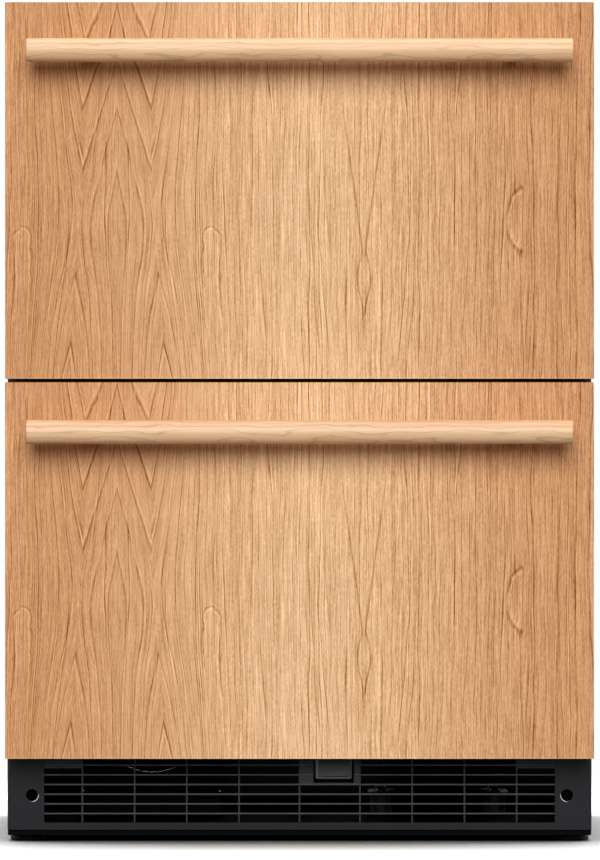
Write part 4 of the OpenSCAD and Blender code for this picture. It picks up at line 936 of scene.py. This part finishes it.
def cabinet_wrapper():
    low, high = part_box("outer_case")
    bm = bmesh.new()
    block(bm, low, high)
    bm.normal_update()
    upper = [e for e in bm.edges if all(v.co.z > high.z - MM for v in e.verts)
             and abs(e.verts[0].co.y - e.verts[1].co.y) > 0.1]
    bevel(bm, upper, 3 * MM, segments=5)
    bm.normal_update()
    gone = [f for f in bm.faces if abs(f.normal.y) > 0.9 or f.normal.z < -0.9]
    bmesh.ops.delete(bm, geom=gone, context="FACES")
    shell(bm, bm.faces[:], SHEET)
    front, back = low.y, low.y + SHEET
    side = high.x - 1.2 * SHEET
    block(bm, (-side, front, OPENING_Z[1]), (side, back, high.z - 1.2 * SHEET))
    block(bm, (-side, front, FRAME_BOTTOM_Z), (side, back, OPENING_Z[0]))
    for sign in (-1, 1):
        left, right = sorted((sign * OPENING_X, sign * side))
        block(bm, (left, front, OPENING_Z[0]), (right, back, OPENING_Z[1]))
    publish("cabinet_wrapper", bm, case_paint, "cabinet", "outer_case")


cabinet_wrapper()

# %% [markdown]
# ## The back
# The back panel is thin sheet. A bead pressed round its edge and two across it keep it from
# drumming, and screws hold it at the rim. Sheet and screws stay within the panel's millimetre,
# so the field lies a little deeper than the beads.

# %% Back panel with beads and screws
def back_sheet():
    low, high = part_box("back_panel")
    deep = high.y - 0.7 * MM
    bm = bmesh.new()
    block(bm, low, (high.x, deep, high.z))
    bm.normal_update()
    field = [f for f in bm.faces if f.normal.y > 0.9]
    for width, rise in ((26, 0), (3, 0.6), (5, 0), (3, -0.6)):
        bmesh.ops.inset_region(bm, faces=field, thickness=width * MM, depth=0, use_even_offset=True)
        bmesh.ops.translate(bm, verts=list({v for f in field for v in f.verts}), vec=(0, rise * MM, 0))
    middle = (low.z + high.z) / 2
    for z in (middle - 120 * MM, middle + 120 * MM):
        bead = block(bm, (low.x + 60 * MM, deep - 0.3 * MM, z - 5 * MM),
                     (high.x - 60 * MM, high.y, z + 5 * MM))
        bevel(bm, [e for e in edges_of(bead) if all(v.co.y > deep for v in e.verts)], 0.6 * MM)
    rim_x = high.x - 14 * MM
    screws = [(x * rim_x, z) for x in (-1, -0.5, 0, 0.5, 1)
              for z in (low.z + 12 * MM, high.z - 12 * MM)]
    screws += [(x * rim_x, low.z + part * (high.z - low.z)) for part in (0.25, 0.5, 0.75)
               for x in (-1, 1)]
    for x, z in screws:
        rod(bm, (x, deep - 0.2 * MM, z), (x, high.y, z), 3.6 * MM, 24, radius_end=2.9 * MM)
    publish("back_sheet", bm, galvanised_steel, "cabinet", "back_panel")


back_sheet()

# %% [markdown]
# ## Levelling feet
# A foot is a moulded pad on a threaded stud. The thread is a small triangle, spun round the
# stud and lifted a little at each step, which is how Blender's Spin makes a helix.

# %% Feet with threaded studs
PAD_R, PAD_H = 18 * MM, 5.8 * MM
STUD_R = 4.3 * MM
THREAD_R = 4.97 * MM
PITCH = 1.5 * MM
STEPS_A_TURN = 20


def levelling_foot(name, node, body):
    low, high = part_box(node)
    x, y, _ = (low + high) / 2
    bm = bmesh.new()
    pad = rod(bm, (x, y, 0), (x, y, PAD_H), PAD_R, segments=64)
    bm.normal_update()
    bevel(bm, sharp_edges(bm, 60, edges_of(pad)), 1.4 * MM, segments=4)
    rod(bm, (x, y, 5 * MM), (x, y, high.z), STUD_R)
    turns = (high.z - 9 * MM) / PITCH
    ridge = bmesh.ops.create_circle(bm, cap_ends=False, segments=3, radius=0.78 * MM)["verts"]
    for degrees, about in ((-90, "Y"), (90, "Z")):
        bmesh.ops.rotate(bm, verts=ridge, matrix=Matrix.Rotation(math.radians(degrees), 3, about))
    reach = max(v.co.x for v in ridge)
    bmesh.ops.translate(bm, verts=ridge, vec=(x + THREAD_R - reach, y, 7.5 * MM))
    bmesh.ops.spin(bm, geom=ridge + edges_of(ridge), cent=(x, y, 0), axis=(0, 0, 1),
                   dvec=(0, 0, PITCH / STEPS_A_TURN), angle=2 * math.pi * turns,
                   steps=int(turns * STEPS_A_TURN))
    bmesh.ops.holes_fill(bm, edges=[e for e in bm.edges if e.is_boundary])
    publish(name, bm, part_black, body, node)


for corner in ("front_left", "front_right", "back_left", "back_right"):
    levelling_foot(f"{corner}_foot", f"foot_{corner}", f"levelling_{corner}")

# %% [markdown]
# ## Bins
# A bin is an injection moulding: its upright corners have a large radius, its floor turns up
# into the walls with a smaller one, and a rim goes round the top. The outside is drawn as one
# surface without a lid, the walls get their thickness inwards, and the rim is extruded outwards
# from the top band of the sides and the back.

# %% Bins
BIN_WALL = 2.5 * MM
BIN_CORNER_R = 18 * MM
BIN_FLOOR_R = 7 * MM
BIN_RIM, BIN_RIM_H = 7 * MM, 3 * MM


def storage_bin(drawer):
    low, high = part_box(f"{drawer}_bin")
    rim = BIN_RIM
    bm = bmesh.new()
    block(bm, (low.x + rim, low.y, low.z), (high.x - rim, high.y - rim, high.z))
    upright = [e for e in bm.edges if abs(e.verts[0].co.z - e.verts[1].co.z) > 0.1]
    bevel(bm, upright, BIN_CORNER_R, segments=8)
    bm.normal_update()
    floor_edges = [e for e in bm.edges if all(v.co.z < low.z + MM for v in e.verts)
                   and any(abs(f.normal.z) < 0.5 for f in e.link_faces)]
    bevel(bm, floor_edges, BIN_FLOOR_R, segments=5)
    bm.normal_update()
    lid = [f for f in bm.faces if f.normal.z > 0.9 and f.calc_center_median().z > high.z - MM]
    bmesh.ops.delete(bm, geom=lid, context="FACES")
    shell(bm, bm.faces[:], BIN_WALL)
    bmesh.ops.bisect_plane(bm, geom=bm.verts[:] + bm.edges[:] + bm.faces[:],
                           plane_co=(0, 0, high.z - BIN_RIM_H), plane_no=(0, 0, 1))
    bm.normal_update()
    middle = (low + high) / 2
    half = Vector(((high.x - low.x) / 2 - rim, (high.y - rim - low.y) / 2, 0))
    band = []
    for face in bm.faces:
        at = face.calc_center_median()
        normal = face.normal
        outward = normal.x * (at.x - middle.x) + normal.y * (at.y - (middle.y - rim / 2)) > 0
        standing = abs(normal.z) < 0.1 and normal.y > -0.99
        if at.z > high.z - BIN_RIM_H and standing and outward:
            band.append(face)
    lip = bmesh.ops.extrude_face_region(bm, geom=band)["geom"]
    lip_verts = [v for v in lip if isinstance(v, bmesh.types.BMVert)]
    for vert in lip_verts:
        vert.co.x *= 1 + rim / half.x
        vert.co.y = low.y + (vert.co.y - low.y) * (1 + rim / (2 * half.y))
    bmesh.ops.delete(bm, geom=band, context="FACES")
    bmesh.ops.remove_doubles(bm, verts=bm.verts, dist=0.01 * MM)
    bm.normal_update()
    edges = [e for e in sharp_edges(bm, 60) if all(v.co.z > high.z - 4 * MM for v in e.verts)]
    bevel(bm, edges, 0.7 * MM, segments=3)
    publish(f"{drawer}_storage_bin", bm, bin_white, f"{drawer}_drawer", f"{drawer}_bin")


for drawer in DRAWERS:
    storage_bin(drawer)

# %% [markdown]
# ## Door seals
# A door seal is an extruded profile, welded at mitred corners: a flange that is pressed into
# the door, a narrow bellows with a fold, and a soft head with the magnet in it. Four rectangular
# frames on top of each other make that profile, and the head's inner edges are rounded.

# %% Door seals
# Each frame's front and back, its distance from the outline and its width, in millimetres.
SEAL_FRAMES = ((0.0, 1.6, 0.6, 14.8), (1.4, 4.2, 4.0, 8.0), (2.4, 3.2, 2.6, 10.8),
               (4.0, 8.0, 0.0, 16.0))


def frame_ring(bm, low, high, width):
    """A rectangular frame with mitred corners, facing y: a box, inset on both faces and opened."""
    verts = block(bm, low, high)
    faces = list({face for vert in verts for face in vert.link_faces})
    bm.normal_update()
    ends = [face for face in faces if abs(face.normal.y) > 0.9]
    for face in ends:
        bmesh.ops.inset_individual(bm, faces=[face], thickness=width, use_even_offset=True)
    loops = [edge for face in ends for edge in face.edges]
    bmesh.ops.delete(bm, geom=ends, context="FACES_ONLY")
    return bmesh.ops.bridge_loops(bm, edges=loops)["faces"]


def magnetic_seal(drawer):
    low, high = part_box(f"{drawer}_seal")
    bm = bmesh.new()
    for start, end, margin, width in SEAL_FRAMES:
        inset = Vector((margin * MM, 0, margin * MM))
        bottom = Vector((low.x, low.y + start * MM, low.z)) + inset
        top = Vector((high.x, low.y + end * MM, high.z)) - inset
        made = frame_ring(bm, bottom, top, width * MM)
    bm.normal_update()
    head = sharp_edges(bm, 60, edges_of({v for f in made for v in f.verts}))
    head = [e for e in head if abs(e.verts[0].co.y - e.verts[1].co.y) < 1e-6]
    bevel(bm, head, 1.2 * MM, segments=3)
    publish(f"{drawer}_magnetic_seal", bm, seal_grey, f"{drawer}_drawer", f"{drawer}_seal")


for drawer in DRAWERS:
    magnetic_seal(drawer)

# %% [markdown]
# ## Balls in the slides
# Between the members of a telescopic slide, hard steel balls roll in a cage of pressed strip.
# On each side of a drawer, balls run above and below the middle member's axis, both between it
# and the channel and between it and the bin's rail. All of them stay with the middle member.

# %% Ball cages
BALLS = 9
BALL_PITCH = 11 * MM
BALL_R = 1.5 * MM


def ball_cages(drawer):
    middle_low, middle_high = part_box(f"{drawer}_slide_middle")
    axis_z = (middle_low.z + middle_high.z) / 2
    # Each run's distance from the middle and from the axis in millimetres, and its front end.
    runs = ((261.5, 19.9, middle_high.y - 0.1), (260.2, 15.2, middle_low.y + 0.012))
    balls, cage = bmesh.new(), bmesh.new()
    for x, lift, start in runs:
        for side in (-1, 1):
            for up in (-1, 1):
                centre = Vector((side * x * MM, start, axis_z + up * lift * MM))
                low = centre + Vector((-1.9 * MM, -6 * MM, -0.3 * MM))
                high = centre + Vector((1.9 * MM, BALL_PITCH * (BALLS - 1) + 6 * MM, 0.3 * MM))
                block(cage, low, high)
                for i in range(BALLS):
                    made = bmesh.ops.create_icosphere(balls, subdivisions=2, radius=BALL_R)["verts"]
                    bmesh.ops.translate(balls, verts=made, vec=centre + Vector((0, i * BALL_PITCH, 0)))
    publish(f"{drawer}_slide_balls", balls, ball_steel, f"{drawer}_slide", None)
    publish(f"{drawer}_ball_cages", cage, slide_zinc, f"{drawer}_slide", None)


for drawer in DRAWERS:
    ball_cages(drawer)

# %% [markdown]
# ## Display
# Behind the dark window two seven-segment figures show the temperature. Each segment is a small
# bar; a table says which bars a figure lights.

# %% Display window and figures
glow = Finish("digit_glow", Emission_Strength=0.9)
flicker = glow.cloud(0.5)
pale_blue = glow.mix(flicker, linear(186, 220, 240), linear(222, 240, 250))
glow.tree.links.new(pale_blue, glow.shader.inputs["Emission Color"])
digit_glow = glow.done(pale_blue, 0.3 + flicker * 0.2)

# Across, up and whether it lies flat; the step between two segments' middles is in millimetres.
SEGMENTS = {"a": (0, 2, 1), "b": (1, 1, 0), "c": (1, -1, 0), "d": (0, -2, 1), "e": (-1, -1, 0),
            "f": (-1, 1, 0), "g": (0, 0, 1)}
SEGMENT_STEP = 1.9
SEGMENT_HALF = (1.5, 0.35)


def display():
    low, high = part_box("display_lens")
    bm = bmesh.new()
    window = block(bm, (low.x, low.y + 0.1 * MM, low.z), high)
    bevel(bm, edges_of(window), 0.3 * MM)
    publish("display_window", bm, display_black, "cabinet", "display_lens")
    bm = bmesh.new()
    middle = (low + high) / 2
    for centre, lit in ((-3.4, "abcdg"), (3.4, "abcdefg")):
        for key in lit:
            across, up, lying = SEGMENTS[key]
            x = middle.x + (centre + across * SEGMENT_STEP) * MM
            z = middle.z + up * SEGMENT_STEP * MM
            half_w, half_h = SEGMENT_HALF if lying else SEGMENT_HALF[::-1]
            block(bm, (x - half_w * MM, low.y + 0.02 * MM, z - half_h * MM),
                  (x + half_w * MM, low.y + 0.2 * MM, z + half_h * MM))
    publish("display_figures", bm, digit_glow, "cabinet", None)


display()

# %% [markdown]
# ## Dressing the CAD parts that stay
# Parts whose CAD shape is already right only need their finish. The pieces above dressed the
# nodes that they stand for, so these are the ones left.

# %% Finishes of the CAD nodes that stay
dress(insulation, "foam_insulation", "upper_door_foam", "lower_door_foam")
dress(fin_aluminium, "evaporator_coil")
dress(compressor_paint, "condenser_coil")
dress(pipe_copper, "refrigerant_pipes")
print("dressed:", len(dressed), "nodes; left:", sorted(set(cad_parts) - dressed))

# %% [markdown]
# ## The studio
# A catalogue studio: one broad, far light in front and a little above, which puts the soft
# shadow under each bar, weaker soft boxes above, beside and behind, and white all around. The
# floor is plain, with a soft shadow painted into its colour close to the object. To the camera,
# and in reflections, floor and surroundings are white, while the light that they send to the
# object stays low.

# %% Floor
def white_rays(tree):
    """1 for the rays that show the surroundings: to the camera, mirrored or through plastic."""
    path = tree.nodes.new("ShaderNodeLightPath")
    seen = Field(tree, path.outputs["Is Camera Ray"]).at_least(path.outputs["Is Glossy Ray"])
    return seen.at_least(path.outputs["Is Transmission Ray"])


FLOOR_WHITE = 1.25
FLOOR_BOUNCE = 0.05


def studio_floor():
    bm = bmesh.new()
    bmesh.ops.create_grid(bm, x_segments=1, y_segments=1, size=30.0)
    mesh = bpy.data.meshes.new("studio_floor")
    bm.to_mesh(mesh)
    bm.free()
    add_object("studio_floor", mesh)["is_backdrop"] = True
    finish = Finish("floor_white", Roughness=0.9, Specular_IOR_Level=0.0)
    tree = finish.tree
    x, y, _ = finish.at
    seen = white_rays(tree)
    # Close to the object an ambient occlusion node darkens the floor's colour: a painted soft shadow in
    # front.
    sky = tree.nodes.new("ShaderNodeAmbientOcclusion")
    sky.inputs["Distance"].default_value = 0.25
    sky.samples = 8
    painted_contact_shadow = Field(tree, sky.outputs["AO"]).power(1.35)
    white_floor = shade(tree, vector(tree, *[FLOOR_WHITE] * 3), painted_contact_shadow)
    bounce = (FLOOR_BOUNCE, FLOOR_BOUNCE, FLOOR_BOUNCE, 1)
    tree.links.new(finish.mix(seen, bounce, white_floor), finish.shader.inputs["Base Color"])
    # Further away the floor is the same plain white as the surroundings.
    glow = tree.nodes.new("ShaderNodeEmission")
    blend = tree.nodes.new("ShaderNodeMixShader")
    far = (x * x + y * y).root().step(700.0, 1500.0)
    plug(tree, far * seen, blend.inputs[0])
    tree.links.new(finish.shader.outputs[0], blend.inputs[1])
    tree.links.new(glow.outputs[0], blend.inputs[2])
    tree.links.new(blend.outputs[0], tree.nodes["Material Output"].inputs[0])
    mesh.materials.append(finish.material)


studio_floor()

# %% World and lights
AMBIENT = 0.02
world = bpy.data.worlds.new("studio")
bpy.context.scene.world = world
world.use_nodes = True
tree = world.node_tree
background = tree.nodes["Background"]
tree.links.new(mix(tree, white_rays(tree), (AMBIENT, AMBIENT, AMBIENT, 1), (1, 1, 1, 1)),
               background.inputs["Color"])
background.inputs["Strength"].default_value = 1.0


def softbox(name, location, target, size, power):
    light = bpy.data.lights.new(name, "AREA")
    light.shape = "RECTANGLE"
    light.size, light.size_y = size
    light.energy = power
    lamp = add_object(name, light)
    lamp.location = location
    lamp.rotation_euler = (Vector(target) - Vector(location)).to_track_quat("-Z", "Y").to_euler()
    lamp.visible_camera = False


def distant(name, elevation, spread, strength):
    """A lamp so far away in front that its light is the same all over the object."""
    light = bpy.data.lights.new(name, "SUN")
    light.angle = math.radians(spread)
    light.energy = strength
    lamp = add_object(name, light)
    lamp.location = (0, -6, 6 * math.tan(math.radians(elevation)))
    lamp.rotation_euler = (math.radians(90 - elevation), 0, 0)


distant("front_light", 24, 40, 3.17)
softbox("top_softbox", (0, 0.1, 6.0), (0, 0.1, 0), (3.4, 1.7), 150)
for side in (-1, 1):
    softbox(f"side_softbox_{side}", (side * 3.2, 0.9, 1.3), (0, 0.0, 0.4), (1.8, 1.8), 85)
softbox("back_softbox", (0, 3.8, 1.9), (0, 0.3, 0.4), (2.4, 1.8), 85)
bpy.context.scene.view_settings.view_transform = "Standard"

# %% [markdown]
# ## Sizes
# The dressed object has to fill the same box as the CAD model.

# %% Compare the boxes
low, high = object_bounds()
off = [round((a - b).length / MM, 3) for a, b in ((low, cad_low), (high, cad_high))]
print("box off by", off, "mm")
